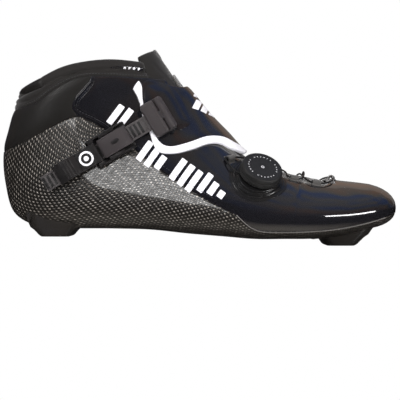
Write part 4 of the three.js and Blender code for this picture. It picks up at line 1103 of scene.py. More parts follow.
def pad(name, material, slot, node, fields, outer, inner, roll, cap, density=(8, 170), **span):
    """A padded piece: a closed layer with a round border, filled by the cloth simulation."""
    params, faces = trimmed(fields, per_station=density[0], around=density[1], **span)
    piece = layer(name, params, faces, outer, inner, roll=roll, steps=7, fields=fields)
    fill(piece, cap)
    belongs(piece, material, slot, node)
    print(name, len(piece.data.vertices), "points")


def fullness(away, width):
    """How full a pad is, from 0 at its edge to 1 from width mm inwards."""
    return np.sin(np.clip(away / width, 0, 1) * math.pi / 2)


# %% [markdown]
# ### Collar
# The collar is a roll of soft foam round the ankle. Two sewn lines run round its outside, under a
# fuller roll along the rim, and it is parted at the front where the tongue comes out.

# %% Collar and the patch at its back
COLLAR = 7.0
RIM_DROP = 3.2  # the roll stands up again on the inside by about as much
INSERT_AREA = [(-145, 102), (-122, 104.5), (-107, 108), (-108.5, 125), (-145, 125)]
insert_patch = outline_field(INSERT_AREA)
collar_base = [minus(above(RIM, -RIM_DROP)), above(COLLAR_SEAM, 0.6), minus(inside_throat(6.6))]


def channel(line, shift, width, depth):
    """A sewn groove along a line."""
    return lambda base: -depth * np.exp(-(above(line, shift)(base) / width) ** 2)


rim_groove = channel(RIM, -RIM_DROP - 4.6, 0.9, 1.3)
low_groove = channel(COLLAR_SEAM, 4.4, 0.7, 0.9)


def collar_level(base, normal, away):
    return -0.7 + 0.9 * fullness(away, 4.0) + rim_groove(base) + low_groove(base)


pad("ankle_collar", suede, "collar_fabric", "collar_padding",
    collar_base + [minus(grown(insert_patch, GAP))], collar_level, -COLLAR + 1.2, 2.4, 0.7,
    along=(7, LAST), turn=(0.02, 0.98), density=(14, 200))
pad("collar_back_patch", satin, "satin_synthetic", "collar_back_insert", collar_base + [insert_patch],
    lambda b, n, a: -0.4 + 0.7 * fullness(a, 3.0), -COLLAR + 1.4, 2.0, 0.5, along=(12, LAST),
    turn=(0.02, 0.98), density=(14, 200))

# %% [markdown]
# ### Tongue
# The tongue lies under the strap and the lace and stands out of the throat as a soft peak. Its
# upper edge is bound, and a small woven tab on it keeps it from sliding down.

# %% Tongue and its tab
TONGUE = 4.0
tongue_top = [(-170, 112), (-70, 112), (-70, 118), (-38, 128.6), (-28.5, 133.8), (-21.5, 147), (60, 150),
              (86, 150), (86, -30), (-170, -30)]
tongue_fields = [inside_throat(5.4), outline_field(tongue_top)]
ribs = lambda base: -0.35 * np.exp(-((base[:, 0] + base[:, 2] - 110) % 11 - 5.5) ** 2 / 1.2)


def tongue_level(base, normal, away):
    return -WALL - GAP - 0.35 + 0.6 * fullness(away, 5.0) + ribs(base) * np.clip(away / 6, 0, 1)


pad("padded_tongue", suede, "collar_fabric", "tongue", tongue_fields, tongue_level,
    -WALL - GAP - TONGUE + 0.5, 1.4, 0.5, along=(0, 15), turn=(0.3, 0.7), density=(10, 190))
tab_fields = [outline_field(smooth([(-19.5, 113), (-13, 122.5), (-4, 117), (5, 108), (2, 100.5), (-4, 99.5),
                                    (-19.5, 113)], 40)), lambda p: 9 - np.abs(p[:, 1])]
params, faces = trimmed(tab_fields, along=(5, 13), turn=(0.36, 0.64), per_station=10, around=260)
tab = layer("tongue_pull", params, faces, -0.1, -1.5, roll=0.6, steps=5)
belongs(tab, webbing, "webbing", "tongue_tab")
print("tab:", len(tab.data.vertices), "points")

# %% [markdown]
# ### Inner boot
# The lining is a thin sock of mesh and foam, and a pad sits on each side of the ankle. They are
# seen from above and from behind, so they get the same care as the outside.

# %% Lining, ankle pads and insole
LINING, PAD = 2.6, 3.0
lining_out = lambda n: -wall_at(n) - GAP
lining_in = lambda n: lining_out(n) - LINING
pad("boot_lining", mesh_cloth, "lining_fabric", "lining",
    [minus(above(COLLAR_SEAM, -1.5)), minus(inside_throat(7.6))], lambda b, n, a: lining_out(n) - 0.35,
    lambda b, n, a: lining_in(n) + 0.3, 0.9, 0.25, along=(-0.93, LAST), turn=(0, 1), density=(6, 130))
ANKLE_X, ANKLE_Z, ANKLE_LONG, ANKLE_HIGH = -72, 88, 20.5, 14.5
pad_ring = outline_field([(ANKLE_X + ANKLE_LONG * math.cos(a), ANKLE_Z + ANKLE_HIGH * math.sin(a))
                          for a in np.linspace(0, 2 * math.pi, 40, endpoint=False)])
for side, way, turn in (("lateral", lateral_side, (0.1, 0.45)), ("medial", medial_side, (0.55, 0.9))):
    pad(f"ankle_cushion_{side}", mesh_cloth, "lining_fabric", f"ankle_pad_{side}",
        [pad_ring, grown(way, -8)], lambda b, n, a: lining_in(n) - GAP - 0.2,
        lambda b, n, a: lining_in(n) - GAP - PAD * np.sqrt(np.clip(a / 8, 0.1, 1)) * 0.8, 1.0, 0.4,
        along=(6, 15), turn=turn)
bed = smooth([(-150, 27), (-118, 24.6), (-80, 23.4), (-30, 22), (10, 18.6), (50, 16.2), (90, 17.6),
              (118, 23.6), (140, 30)])
params, faces = net((-0.9, 12), (-0.2, 0.2), 8, 150)
for field in (minus(above(bed, 0.0)), lambda p: 37 - np.abs(p[:, 1])):
    params, faces = clip(params, faces, field)
insole = layer("foot_bed", params, faces, lambda b, n, a: lining_in(n) - GAP - 0.1,
               lambda b, n, a: lining_in(n) - GAP - 2.2, roll=0.3)
belongs(insole, insole_foam, "lining_fabric", "insole")
print("inner boot is in place")

# %% [markdown]
# ## Piping and stitches
# Along their free edges the panels are piped with a thin cord and sewn with a row of short, close
# stitches. Both follow a line on the surface. A curve with a round bevel makes the piping. Each
# stitch is a small capsule of its own, sunk at its ends, because that is what casts the tiny
# shadows that make a seam look sewn.

# %% Lines on the surface, cords and stitches


def on_side(line, sign, level):
    """Points of a side line (x, z) put on the lateral (-1) or medial (1) side, level mm above it."""
    a, t = np.meshgrid(np.linspace(-0.98, LAST, 420), np.linspace(0.02, 0.5, 150), indexing="ij")
    a, t = a.ravel(), t.ravel()
    if sign > 0:
        t = 1 - t
    cloud = surface(a, t)
    found = []
    for x, z in line:
        near = np.argsort((cloud[:, 0] - x) ** 2 + (cloud[:, 2] - z) ** 2)[:4]
        weight = 1 / (1e-3 + (cloud[near, 0] - x) ** 2 + (cloud[near, 2] - z) ** 2)
        base = (cloud[near] * weight[:, None]).sum(0) / weight.sum()
        normal = surface_normal(a[near[:1]], t[near[:1]])[0]
        found.append(base + normal * level)
    return np.array(found)


def relaxed(points, rounds):
    """Takes the small steps out of a run of points."""
    for _ in range(rounds):
        points[1:-1] = points[1:-1] * 0.5 + (points[:-2] + points[2:]) * 0.25
    return points


def cord_along(name, points, radius, material, slot, *nodes, body="boot"):
    """A round cord through points in mm."""
    curve = bpy.data.curves.new(name, "CURVE")
    curve.dimensions = "3D"
    curve.bevel_depth, curve.bevel_resolution, curve.use_fill_caps = radius * MM, 3, True
    spline = curve.splines.new("POLY")
    spline.points.add(len(points) - 1)
    for knot, p in zip(spline.points, points):
        knot.co = (*((np.asarray(p) + (0, CENTRE_Y, 0)) * MM), 1)
    piece = bpy.data.objects.new(name, curve)
    scene.collection.objects.link(piece)
    return belongs(apply_curve(piece), material, slot, *nodes, body=body)


def apply_curve(piece):
    """Turns a curve object into a mesh object of the same name."""
    graph = bpy.context.evaluated_depsgraph_get()
    mesh = bpy.data.meshes.new_from_object(piece.evaluated_get(graph))
    name = piece.name
    bpy.data.objects.remove(piece)
    made = bpy.data.objects.new(name, mesh)
    scene.collection.objects.link(made)
    mesh.shade_smooth()
    return made


def resample(points, step):
    """Evenly spaced points and their directions."""
    points = np.asarray(points, float)
    length = np.concatenate([[0], np.cumsum(np.linalg.norm(np.diff(points, axis=0), axis=1))])
    count = max(2, int(length[-1] / step))
    at = np.linspace(0, length[-1], count)
    even = np.stack([np.interp(at, length, points[:, k]) for k in range(3)], 1)
    way = np.gradient(even, axis=0)
    return even, way / np.linalg.norm(way, axis=1)[:, None]


def capsule(sides=6, rings=3):
    """A small round-ended bar along x, of length and radius 1."""
    points, faces = [(-1, 0, 0)], []
    for k in range(1, 2 * rings):
        angle = math.pi * k / (2 * rings)
        x, r = -math.cos(angle), math.sin(angle) ** 0.7
        points += [(x, r * math.cos(2 * math.pi * s / sides), r * math.sin(2 * math.pi * s / sides))
                   for s in range(sides)]
    points.append((1, 0, 0))
    last = len(points) - 1
    for s in range(sides):
        n = (s + 1) % sides
        faces += [(0, 1 + n, 1 + s), (last, last - sides + s, last - sides + n)]
        for k in range(2 * rings - 2):
            a = 1 + k * sides
            faces.append((a + s, a + n, a + sides + n, a + sides + s))
    return np.array(points, float), faces


def stitches(name, lines, material, slot, pitch=2.0, length=0.7, radius=0.17, body="boot"):
    """Rows of separate stitches along lines of points in mm, all in one piece."""
    shape, shape_faces = capsule()
    points, faces = [], []
    for line in lines:
        even, way = resample(line, pitch)
        for place, x in zip(even, way):
            y = np.cross((0, 0, 1), x)
            y /= max(np.linalg.norm(y), 1e-6)
            z = np.cross(x, y)
            basis = np.stack([x * length, y * radius, z * radius])
            faces += [tuple(i + len(points) * len(shape) for i in f) for f in shape_faces]
            points.append(place + shape @ basis)
    piece = make_mesh(name, np.concatenate(points) * MM, faces)
    return belongs(piece, material, slot, body=body)


def beside(line, distance):
    """A side line moved sideways, in its own plane."""
    line = np.asarray(line, float)
    way = np.gradient(line, axis=0)
    way /= np.linalg.norm(way, axis=1)[:, None]
    return line + np.stack([-way[:, 1], way[:, 0]], 1) * distance


PIPING = 0.55
rear_line = QUARTER_REAR[(QUARTER_REAR[:, 1] < 112) & (QUARTER_REAR[:, 1] > 87.5)]
ankle_edge = SHELL_EDGE[(SHELL_EDGE[:, 0] > -76) & (SHELL_EDGE[:, 0] < 8)]
collar_run = COLLAR_SEAM[(COLLAR_SEAM[:, 0] > -127) & (COLLAR_SEAM[:, 0] < -32)]
corner = np.concatenate([rear_line, ankle_edge[ankle_edge[:, 1] > 74] + (-0.5, 1.2)])
seams = []
for sign, side in ((-1, "outer"), (1, "inner")):
    for n, shift in enumerate((1.1, 3.6)):
        run = relaxed(on_side(beside(corner, shift), sign, 0.62), 4)
        cord_along(f"{side}_piping_{n + 1}", run, PIPING - 0.1 * n, patent, "patent")
    seams.append(relaxed(on_side(beside(corner, 2.35), sign, 0.5), 3))
    seams.append(relaxed(on_side(beside(ankle_edge, 3.2), sign, 0.72), 3))
    seams.append(relaxed(on_side(beside(collar_run, 1.9), sign, -0.05), 3))
stitches("panel_stitches", seams, thread, "patent")
print("seams:", len(seams))

# %% [markdown]
# ### The shell's rim
# Where the tray ends, its trimmed edge shows as a thin pale line of resin. A fine cord laid on the
# edge gives it, and it is also what keeps the panel's glue line out of sight.

# %% Rim line
rim_finish = finish("trimmed laminate edge", (0.1, 0.095, 0.09), 0.35, grain_scale=1500.0,
                    grain_depth=0.00003)
tray_edge = SHELL_EDGE[(SHELL_EDGE[:, 0] > 12) & (SHELL_EDGE[:, 0] < 127)]
for sign, side in ((-1, "outer"), (1, "inner")):
    run = relaxed(on_side(tray_edge + (0, 0.35), sign, 0.42), 4)
    cord_along(f"{side}_rim_line", run, 0.34, rim_finish, "carbon")
print("rim lines:", len(tray_edge), "points each")

# %% [markdown]
# ## Instep strap
# The strap is the boot's main closure: a wide glossy band over the tongue, held by a screwed plate
# on the inner side and by the ladder on the outer side, with a white binding along its lower edge.
# When the ladder slides, the outer end has to follow it while the rest stays on the instep. Here
# the strap rides on neither body and keeps its place.

# %% Strap outlines, strap and white binding
STRAP = 2.5
STRAP_LATERAL = smooth([(4, 118), (-12, 107), (-27, 109.5), (-36, 111), (-39.6, 107), (-38.6, 98),
                        (-36, 87), (-31.5, 77), (-27, 70), (-23, 67.2), (-16.9, 66.6), (-6, 69.4),
                        (4, 72.9), (14, 73), (22, 69.6), (28.5, 66)], 90)
STRAP_MEDIAL = smooth([(4, 118), (-12, 105), (-24, 88), (-36, 66), (-42, 50), (-38, 43), (-30, 40), (-20, 42),
                       (-10, 50), (2, 60), (14, 67), (22, 67.6), (28.5, 66)], 90)
FAR_TOP = [(44, 80)]
TRIM = np.concatenate([
    smooth([(-41.8, 110.8), (-40, 107.2), (-39, 98), (-36.4, 87), (-31.9, 77), (-27.4, 69.8),
            (-23.2, 66.8), (-16.9, 66.2), (-6, 69), (4, 72.5), (14, 72.6), (22, 69.2), (28.9, 65.6)], 80),
    [(38.9, 74.6), (41.5, 72)],
    smooth([(29.6, 62), (20.6, 65), (13.5, 68.5), (5, 68.4), (-4.8, 64.9), (-16.3, 62.2), (-26, 62.8),
            (-30, 67), (-33.4, 76.4), (-37.9, 86.7), (-40.5, 97), (-42.6, 102), (-45, 106)], 80)])
strap_lateral = outline_field(np.concatenate([STRAP_LATERAL, FAR_TOP]))
strap_medial = outline_field(np.concatenate([STRAP_MEDIAL, FAR_TOP]))
strap_field = lambda p: np.where(p[:, 1] < 0, strap_lateral(p), strap_medial(p))
FILM = 0.1


def strap_level(base, normal, away):
    """Gently full, with low folds where it is drawn over the instep."""
    fold = 0.3 * np.sin(base[:, 0] * 0.35 + base[:, 2] * 0.1) * np.clip(away / 8, 0, 1)
    return GAP + STRAP - 0.3 + 0.35 * fullness(away, 4) + fold


def follow_ladder(piece, material, slot, *nodes):
    """Paints a piece, hides its nodes of the frame and bakes its place into its mesh; it rides on no body."""
    piece.data.materials.clear()
    piece.data.materials.append(material)
    if nodes:
        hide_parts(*nodes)
    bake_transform(piece)


params, faces = trimmed([strap_field], along=(1.5, 14), turn=(0.12, 0.88), per_station=12, around=200)
strap = layer("strap_band", params, faces, strap_level, GAP + 0.1, roll=0.8, steps=6, fields=[strap_field])
follow_ladder(strap, patent, "patent", "instep_strap")
params, faces = trimmed([outline_field(TRIM), lambda p: 8 - p[:, 1]], along=(1.5, 14), turn=(0.12, 0.56),
                        per_station=12, around=220)
binding = layer("white_strap_binding", params, faces, GAP + STRAP - 0.1, GAP, roll=0.5, steps=6)
follow_ladder(binding, white, "white_edge", "strap_trim")
print("strap:", len(strap.data.vertices), "points")

# %% [markdown]
# The strap's outer end is doubled: a padded flap with a turned edge covers the ladder's screw
# plate, and it bulges a little more than the strap.

# %% Flap on the strap's outer end
FLAP = smooth([(-36.6, 107), (-30, 108.6), (-22, 108), (-15.5, 101), (-10.5, 91), (-7.6, 83.5),
               (-9.5, 79.6), (-17, 76.4), (-25.5, 76), (-30, 80), (-35, 90), (-37.4, 100),
               (-36.6, 107)], 70)[:-1]
flap_field = outline_field(FLAP)


def flap_level(base, normal, away):
    return GAP + STRAP + 0.2 + 1.3 * fullness(away, 7)


params, faces = trimmed([flap_field], along=(3, 13), turn=(0.15, 0.5), per_station=16, around=240)
flap = layer("strap_end_flap", params, faces, flap_level, GAP + STRAP - 0.4, roll=0.5, steps=5,
             fields=[flap_field])
follow_ladder(flap, patent, "patent")
print("flap:", len(flap.data.vertices), "points")

# %% [markdown]
# ## Printed marks
# The boot carries white marks on its side and on the strap. Here they are plain slanted bars that
# mean nothing: four groups down the side, and two rows on the strap. Each set is a film a tenth of
# a millimetre thick that follows what it is on, cut from the same form by its outlines.

# %% Slanted bars
ROW_SLOPE, STRAP_SLOPE = -36.0, -20.0
BAR_WIDE, BAR_GAP = 4.3, 2.3


def heading(degrees):
    return np.array([math.cos(math.radians(degrees)), math.sin(math.radians(degrees))])


def bar(x, z, long, wide, slope=ROW_SLOPE):
    """A bar of the side view that stands square to its row's slope."""
    row, up = heading(slope) * wide / 2, heading(slope + 90) * long / 2
    return [(x, z) - row - up, (x, z) + row - up, (x, z) + row + up, (x, z) - row + up]


def printed(name, outlines, level, turn, along, thick=0.12):
    """A thin film over the form, within any of the outlines."""
    params, faces = trimmed([either(*[outline_field(o) for o in outlines])], along=along, turn=turn,
                            per_station=34, around=560)
    return layer(name, params, faces, level, lambda b, n, a: level(b, n, a) - thick, roll=0.05, steps=3)


def bar_group(x, z, lengths):
    """Bars side by side along the row's slope."""
    step = heading(ROW_SLOPE) * (BAR_WIDE + BAR_GAP)
    first = -(len(lengths) - 1) / 2
    return [bar(*((x, z) + step * (first + k)), long, BAR_WIDE) for k, long in enumerate(lengths)]


quarter_level = stretched(QUARTER_SWELL, quarter_fields + [lateral_side])
side_film = lambda b, n, a: quarter_level(b, n, a) + QUARTER_LIFT + FILM
side_bars = (bar_group(-56.5, 88.5, (11, 15, 18)) + bar_group(-31.5, 60, (15, 15, 10))
             + bar_group(-9, 47.5, (16, 16, 16)) + bar_group(9, 38.5, (14, 9, 5)))
belongs(printed("side_marks", side_bars, side_film, (0.2, 0.46), (3.5, 11)), white, "white_edge")
print("bars on the side:", len(side_bars))

# %% Marks on the strap
strap_marks = [bar(-3.5 + 5.4 * k, 94.5 - 2.0 * k, 6.6, 4.2, STRAP_SLOPE) for k in range(4)]
strap_marks += [bar(-5.0 + 3.4 * k, 101.4 - 1.25 * k, 2.2, 2.5, STRAP_SLOPE) for k in range(5)]
strap_film = lambda b, n, a: strap_level(b, n, strap_field(b)) + 0.12
follow_ladder(printed("strap_marks", strap_marks, strap_film, (0.25, 0.5), (2.5, 11)), white, "white_edge")
print("strap marks:", len(strap_marks))

# %% Small window in the collar, with its row of eyelets
EYELET = 0.8
collar_film = lambda b, n, a: collar_level(b, n, np.full(len(b), 9.0)) + FILM
window_line = smooth([(-59, 118.9), (-48, 118.8), (-39.6, 118.3), (-38.9, 120.6), (-48, 121.3),
                      (-59, 120.5), (-59, 118.9)], 40)[:-1]
window = printed("collar_window", [window_line], collar_film, (0.1, 0.48), (8, 15), thick=0.5)
belongs(window, patent, "patent")
dots = [[(x + EYELET * math.cos(t), z + EYELET * math.sin(t)) for t in np.linspace(0, 2 * math.pi, 12)[:-1]]
        for x, z in ((-50.4, 120), (-47.3, 120), (-44.2, 119.9), (-41.1, 119.7))]
eyelets = printed("collar_eyelets", dots, lambda b, n, a: collar_film(b, n, a) + 0.12, (0.1, 0.48), (8, 15),
                  thick=0.1)
belongs(eyelets, white, "white_edge")
print("eyelets:", len(dots))

# %% [markdown]
# ## Ratchet buckle
# The buckle works like a cable tie that can let go: a saw-toothed ladder runs through a frame, a
# lever with a small tooth pulls it in, and a tab with a tooth holds it. Each part is a moulding of
# constant side profile, so each is drawn in profile and swept across. Rails, ribs and the grip are
# added as shape of their own, because light catches every one of them.

# %% Swept profiles


def swept(name, outline, half, edge, offset=0.0, hollow=(), frame_matrix=buckle_frame):
    """A closed side profile (x, z) in mm swept across y, with rounded edges."""
    count = len(outline)
    points = [(x, y, z) for y in (offset - half, offset + half) for x, z in outline]
    faces = [tuple(range(count)), tuple(2 * count - 1 - k for k in range(count))]
    faces += [(k, (k + 1) % count, count + (k + 1) % count, count + k) for k in range(count)]
    piece = make_mesh(name, in_frame(frame_matrix, points), faces)
    for tool in hollow:
        carve(piece, tool)
    return soften(piece, edge) if edge else piece


def joined(name, parts):
    """Several loose solids as one piece."""
    bm = bmesh.new()
    for part in parts:
        bm.from_mesh(part.data)
        bpy.data.objects.remove(part)
    mesh = bpy.data.meshes.new(name)
    bm.to_mesh(mesh)
    bm.free()
    mesh.set_sharp_from_angle(angle=SHADE_ANGLE)
    piece = bpy.data.objects.new(name, mesh)
    scene.collection.objects.link(piece)
    return piece


def rounded_profile(points, radius, steps=3):
    """Rounds the corners of an outline."""
    made, count = [], len(points)
    for k in range(count):
        a, b, c = (np.array(points[(k + d) % count], float) for d in (-1, 0, 1))
        into, away = a - b, c - b
        cut = min(radius, np.linalg.norm(into) * 0.45, np.linalg.norm(away) * 0.45)
        start, end = b + into / np.linalg.norm(into) * cut, b + away / np.linalg.norm(away) * cut
        for s in np.linspace(0, 1, steps + 1):
            made.append(tuple(start * (1 - s) ** 2 + b * 2 * s * (1 - s) + end * s * s))
    return made


def box_at(name, x, y, z, long, wide, high, edge=0.25):
    """A box in the buckle's frame, by its middle and its size."""
    outline = [(x + a * long / 2, z + b * high / 2) for a, b in ((-1, -1), (1, -1), (1, 1), (-1, 1))]
    return swept(name, outline, wide / 2, edge, offset=y)


def turned(name, outline, frame_matrix, sides=64, place=(0, 0)):
    """A body turned round z from an outline of (radius, height)."""
    points, faces, count = [], [], len(outline)
    for s in range(sides):
        angle = 2 * math.pi * s / sides
        points += [(place[0] + r * math.cos(angle), place[1] + r * math.sin(angle), z) for r, z in outline]
    for s in range(sides):
        a, b = s * count, ((s + 1) % sides) * count
        closed = outline[0][0] > 0 and outline[-1][0] > 0
        for k in range(count if closed else count - 1):
            n = (k + 1) % count
            faces.append((a + k, b + k, b + n, a + n))
    piece = make_mesh(name, in_frame(frame_matrix, points), faces)
    piece.data.set_sharp_from_angle(angle=math.radians(38))
    return piece


# %% Buckle frame
BUCKLE_WIDTH, CHEEK = 19.6, 1.2
HALF = BUCKLE_WIDTH / 2
INNER = HALF - CHEEK
RAIL = 2.7
TAB_HALF = 6.6
cheek_line = rounded_profile([(-17, 0.6), (12.5, 0.6), (12.5, 4.6), (8, 8.6), (3, 9.6), (-4, 9.4), (-8, 8),
                              (-10.5, 9.2), (-15, 9.2), (-17, 7)], 1.0)
parts = [swept("floor", [(-17, 0.6), (12.5, 0.6), (12.5, 2.2), (-17, 2.2)], INNER + 0.2, 0.2)]
for side in (-1, 1):
    parts += [swept("cheek", cheek_line, CHEEK / 2, 0.28, offset=side * (HALF - CHEEK / 2)),
              box_at("top rail", -1.5, side * (HALF - RAIL / 2), 8.7, 11.5, RAIL, 1.3, 0.4),
              box_at("rear rail", -13.4, side * (HALF - RAIL / 2), 8.6, 4.6, RAIL, 1.2, 0.4),
              box_at("side rib", -2.2, side * (HALF + 0.05), 4.2, 26, 0.5, 0.8, 0.18)]
screw_room = turned("room", [(0, 1.1), (4.3, 1.1), (4.3, 5), (0, 5)], buckle_frame, 32, (-5, 0))
carve(parts[0], screw_room)
belongs(joined("buckle_body", parts), buckle_black, "moulded_plastic", "buckle_frame")
print("buckle frame:", BUCKLE_WIDTH, "mm wide")

# %% [markdown]
# ### Ladder
# The ladder is a band of nylon with low ramps across it between two plain rails. The ramps stand
# between the rails, so the holding tooth is guided. Between each two, a thin black box stands in
# for the dark slot: painted shade, not an opening.

# %% Ladder
LADDER_HALF, LOW, BAND, TOOTH, PITCH, TAIL, FRONT = 5.6, 2.6, 1.2, 0.8, 3.2, -54.0, 30.0
FIRST_RAMP = FRONT - 5
top, tip = LOW + BAND, LOW + BAND + TOOTH - 0.05
band_line = [(TAIL, LOW), (FRONT, LOW), (FRONT, top), (TAIL + 3, top), (TAIL, LOW + 0.7)]
parts = [swept("band", rounded_profile(band_line, 0.3), LADDER_HALF - 0.05, 0.2)]
for side in (-1, 1):
    parts.append(box_at("rail", (TAIL + FRONT) / 2 + 1.5, side * (LADDER_HALF - 0.75), top + 0.28,
                        FRONT - TAIL - 5, 1.3, 0.75, 0.22))
x = FIRST_RAMP - PITCH
while x > TAIL + 1:
    ramp = [(x, top - 0.2), (x + PITCH * 0.55, top - 0.2), (x + PITCH * 0.45, tip), (x + 0.15, tip)]
    parts.append(swept("ramp", ramp, LADDER_HALF - 1.5, 0.12))
    x -= PITCH
parts.append(box_at("end", FRONT - 2.6, 0, top + 0.35, 4.8, 2 * LADDER_HALF - 0.3, 0.8, 0.2))
belongs(joined("ladder", parts), rubbed, "ladder_plastic", "ladder_strap", body="ladder")
# Thin black boxes in the gaps between the ramps: painted shade where the slots fall dark.
SLOT_SHADES = 24
slot_shades = [box_at("slot", FIRST_RAMP - PITCH * (k + 0.22), 0, top + 0.1, PITCH * 0.62,
                2 * LADDER_HALF - 3.1, 0.8, 0) for k in range(1, SLOT_SHADES + 1)]
belongs(joined("ladder_slot_shades", slot_shades), cord_black, "ladder_plastic", body="ladder")
print("ladder:", len(parts) - 4, "ramps,", SLOT_SHADES, "slot_shades")

# %% [markdown]
# ### Lever, holding tab and ladder block
# The lever's free end curls up into a ribbed grip for a gloved finger. The tab is domed, with a
# raised drop in its middle and a grooved lip where a thumb presses. The block that joins ladder
# and strap has a long ridge over its screw.

# %% Lever
GRIP_RIBS, GRIP_START, GRIP_LENGTH = 6, -31.2, 10.6
lever_line = smooth([(-11.2, 6.9), (-11.6, 8.3), (-13, 9), (-20, 9.05), (-27, 8.9), (-30, 9.5), (-35, 10.8),
                     (-39.5, 10.3), (-43.6, 7.4), (-43.2, 6.7), (-39.5, 8.4), (-35, 9.1), (-31.4, 7.9),
                     (-29.6, 5.4), (-27.5, 5.15), (-20, 5.1), (-13.5, 5.1), (-11.5, 5.6)], 70)
notch = box_at("notch", -18.7, 0, 5.5, 6.6, 11.6, 5.0, 0)
parts = [swept("plate", [tuple(p) for p in lever_line], TAB_HALF + 0.1, 0.35, hollow=[notch])]
for k in range(GRIP_RIBS):
    share = k / (GRIP_RIBS - 1)
    height = 10.0 + 0.75 * math.sin(math.pi * (share * 0.95 + 0.1)) - 2.3 * max(0, share - 0.62) * 2.2
    parts.append(box_at("rib", GRIP_START - GRIP_LENGTH * share, 0, height, 0.8, 2 * TAB_HALF - 1.6, 0.75))
for side in (-1, 1):
    parts.append(box_at("flank", -22, side * (TAB_HALF - 0.35), 9.3, 10.5, 0.7, 0.8, 0.2))
belongs(joined("tightening_lever", parts), buckle_black, "moulded_plastic", "buckle_lever", body="lever")
print("lever:", GRIP_RIBS, "ribs on its grip")

# %% The lever's badge
BADGE_X, BADGE_LOW, BADGE_TOP = -21, 9.25, 9.45
plate = stacked("badge", [rounded_ring(-26.8, -15.2, 5.9, 1.0, z, 5) for z in (8.7, 9.35)], buckle_frame)
belongs(soften(plate, 0.15), dial_black, "moulded_plastic", body="lever")
for name, inner, outer, sides in (("badge_ring", 3.6, 4.9, 40), ("badge_dot", 0, 1.7, 24)):
    line = [(inner, BADGE_LOW), (outer, BADGE_LOW), (outer, BADGE_TOP), (inner, BADGE_TOP)]
    belongs(turned(name, line, buckle_frame, sides, (BADGE_X, 0)), white, "white_edge", body="lever")
print("badge:", plate.name)

# %% Holding tab
tab_line = smooth([(-9.4, 7.2), (-9.5, 8.6), (-7, 9.8), (-1, 10.8), (5, 10.75), (10, 9.1), (11.8, 6.6),
                   (11.3, 5.7), (8, 5.2), (7, 5.35), (4, 6.2), (-3.5, 6.3), (-8.6, 6.9)], 60)
parts = [swept("tab", [tuple(p) for p in tab_line], TAB_HALF, 0.5)]
DROP_SIZE, DROP_PLACE = (3.0, 1.5, 0.9), (1.2, 0, 10.75)
shape, shape_faces = capsule(16, 6)
drop = make_mesh("tab_drop", in_frame(buckle_frame, shape * DROP_SIZE + DROP_PLACE), shape_faces)
belongs(drop, buckle_black, "moulded_plastic", body="release")
for k in range(3):
    parts.append(box_at("lip", 8.2 + k * 1.15, 0, 9.55 - k * 0.62, 0.55, 2 * TAB_HALF - 1.6, 0.7, 0.2))
for side in (-1, 1):
    parts.append(box_at("edge", 0, side * (TAB_HALF - 0.5), 10.2, 12.5, 0.7, 0.9))
belongs(joined("holding_tab", parts), moulded, "moulded_plastic", "release_tab", body="release")
print("tab:", len(parts), "solids")

# %% Ladder block
ladder_room = box_at("room", 28, 0, 2.3, 5, 2 * LADDER_HALF + 0.6, 5.0, 0)
BLOCK_HALF = 12.2
plate_rings = [rounded_ring(26.6 + tuck, 43 - tuck, BLOCK_HALF - tuck, 2.6, z, 6)
               for z, tuck in ((0.4, 0.3), (0.9, 0), (3.6, 0), (4.2, 0.5))]
bar_rings = [rounded_ring(26.7 + tuck, 36.6 - tuck, BLOCK_HALF - 0.1 - tuck, 2.4, z, 6)
             for z, tuck in ((1.5, 0), (6.3, 0), (7.0, 0.3), (7.3, 0.9), (7.45, 2.0))]
plate = carve(stacked("plate", plate_rings, buckle_frame), ladder_room, keep=True)
flat_bar = carve(stacked("bar", bar_rings, buckle_frame), ladder_room)
RIDGE_X, RIDGE_Z = 39.6, 4.9
ridge_line = [(RIDGE_X + 2.7 * math.cos(t), RIDGE_Z + 2.9 * math.sin(t))
              for t in np.linspace(-0.6, math.pi + 0.6, 18)]
parts = [plate, flat_bar, swept("ridge", ridge_line, BLOCK_HALF - 0.3, 0.7),
         box_at("line", 34.6, 0, 7.45, 0.6, 2 * BLOCK_HALF - 3.5, 0.35, 0.12)]
belongs(joined("ladder_block", parts), moulded, "moulded_plastic", "ladder_cover", body="ladder")
print("buckle is in place")

# %% [markdown]
# ## Lace dial
# The dial winds the lace: push and turn to tighten, pull to let go. It stands on a round flange
# with fine steps, and its knob has a knurled skirt and a shallow dished face. Bodies like these
# are turned, so a profile spun round the axis is the right tool, and the knurl is a ring of ribs.

# %% Flange on the boot
FLANGE, HOUSING = 19.4, 12.0
into_dial = np.array(dial_frame.inverted())


def dial_field(radius):
    """Positive within radius mm of the dial's axis."""
    turn, shift = into_dial[:3, :3], into_dial[:3, 3] / MM
    return lambda p: radius - np.linalg.norm((p @ turn.T + shift)[:, :2], axis=1)


def flange_level(base, normal, away):
    """Round steps like the rings of a turned part."""
    reach = dial_field(FLANGE)(base)
    steps = [np.clip((reach - start) / 0.45, 0, 1) * high
             for start, high in ((0.9, 0.55), (2.6, 0.75), (4.6, 1.1))]
    groove = 0.5 * (np.exp(-((reach - 2.1) / 0.35) ** 2) + np.exp(-((reach - 4.1) / 0.35) ** 2))
    return 1.0 + sum(steps) - groove


params, faces = trimmed([dial_field(FLANGE)], along=(1.5, 8.5), turn=(0.2, 0.48), per_station=44, around=620)
base_plate = layer("dial_flange", params, faces, flange_level, 0.5, roll=0.5, steps=5)
belongs(base_plate, dial_gloss, "dial_plastic", "dial_base")
drum_line = [(HOUSING - 1.2, 1.0), (HOUSING, 1.0), (HOUSING, 6.4), (HOUSING - 0.3, 7), (HOUSING - 1, 7),
             (HOUSING - 1.2, 6.8)]
belongs(turned("dial_drum", drum_line, dial_frame), dial_gloss, "dial_plastic")
print("flange:", len(base_plate.data.vertices), "points")

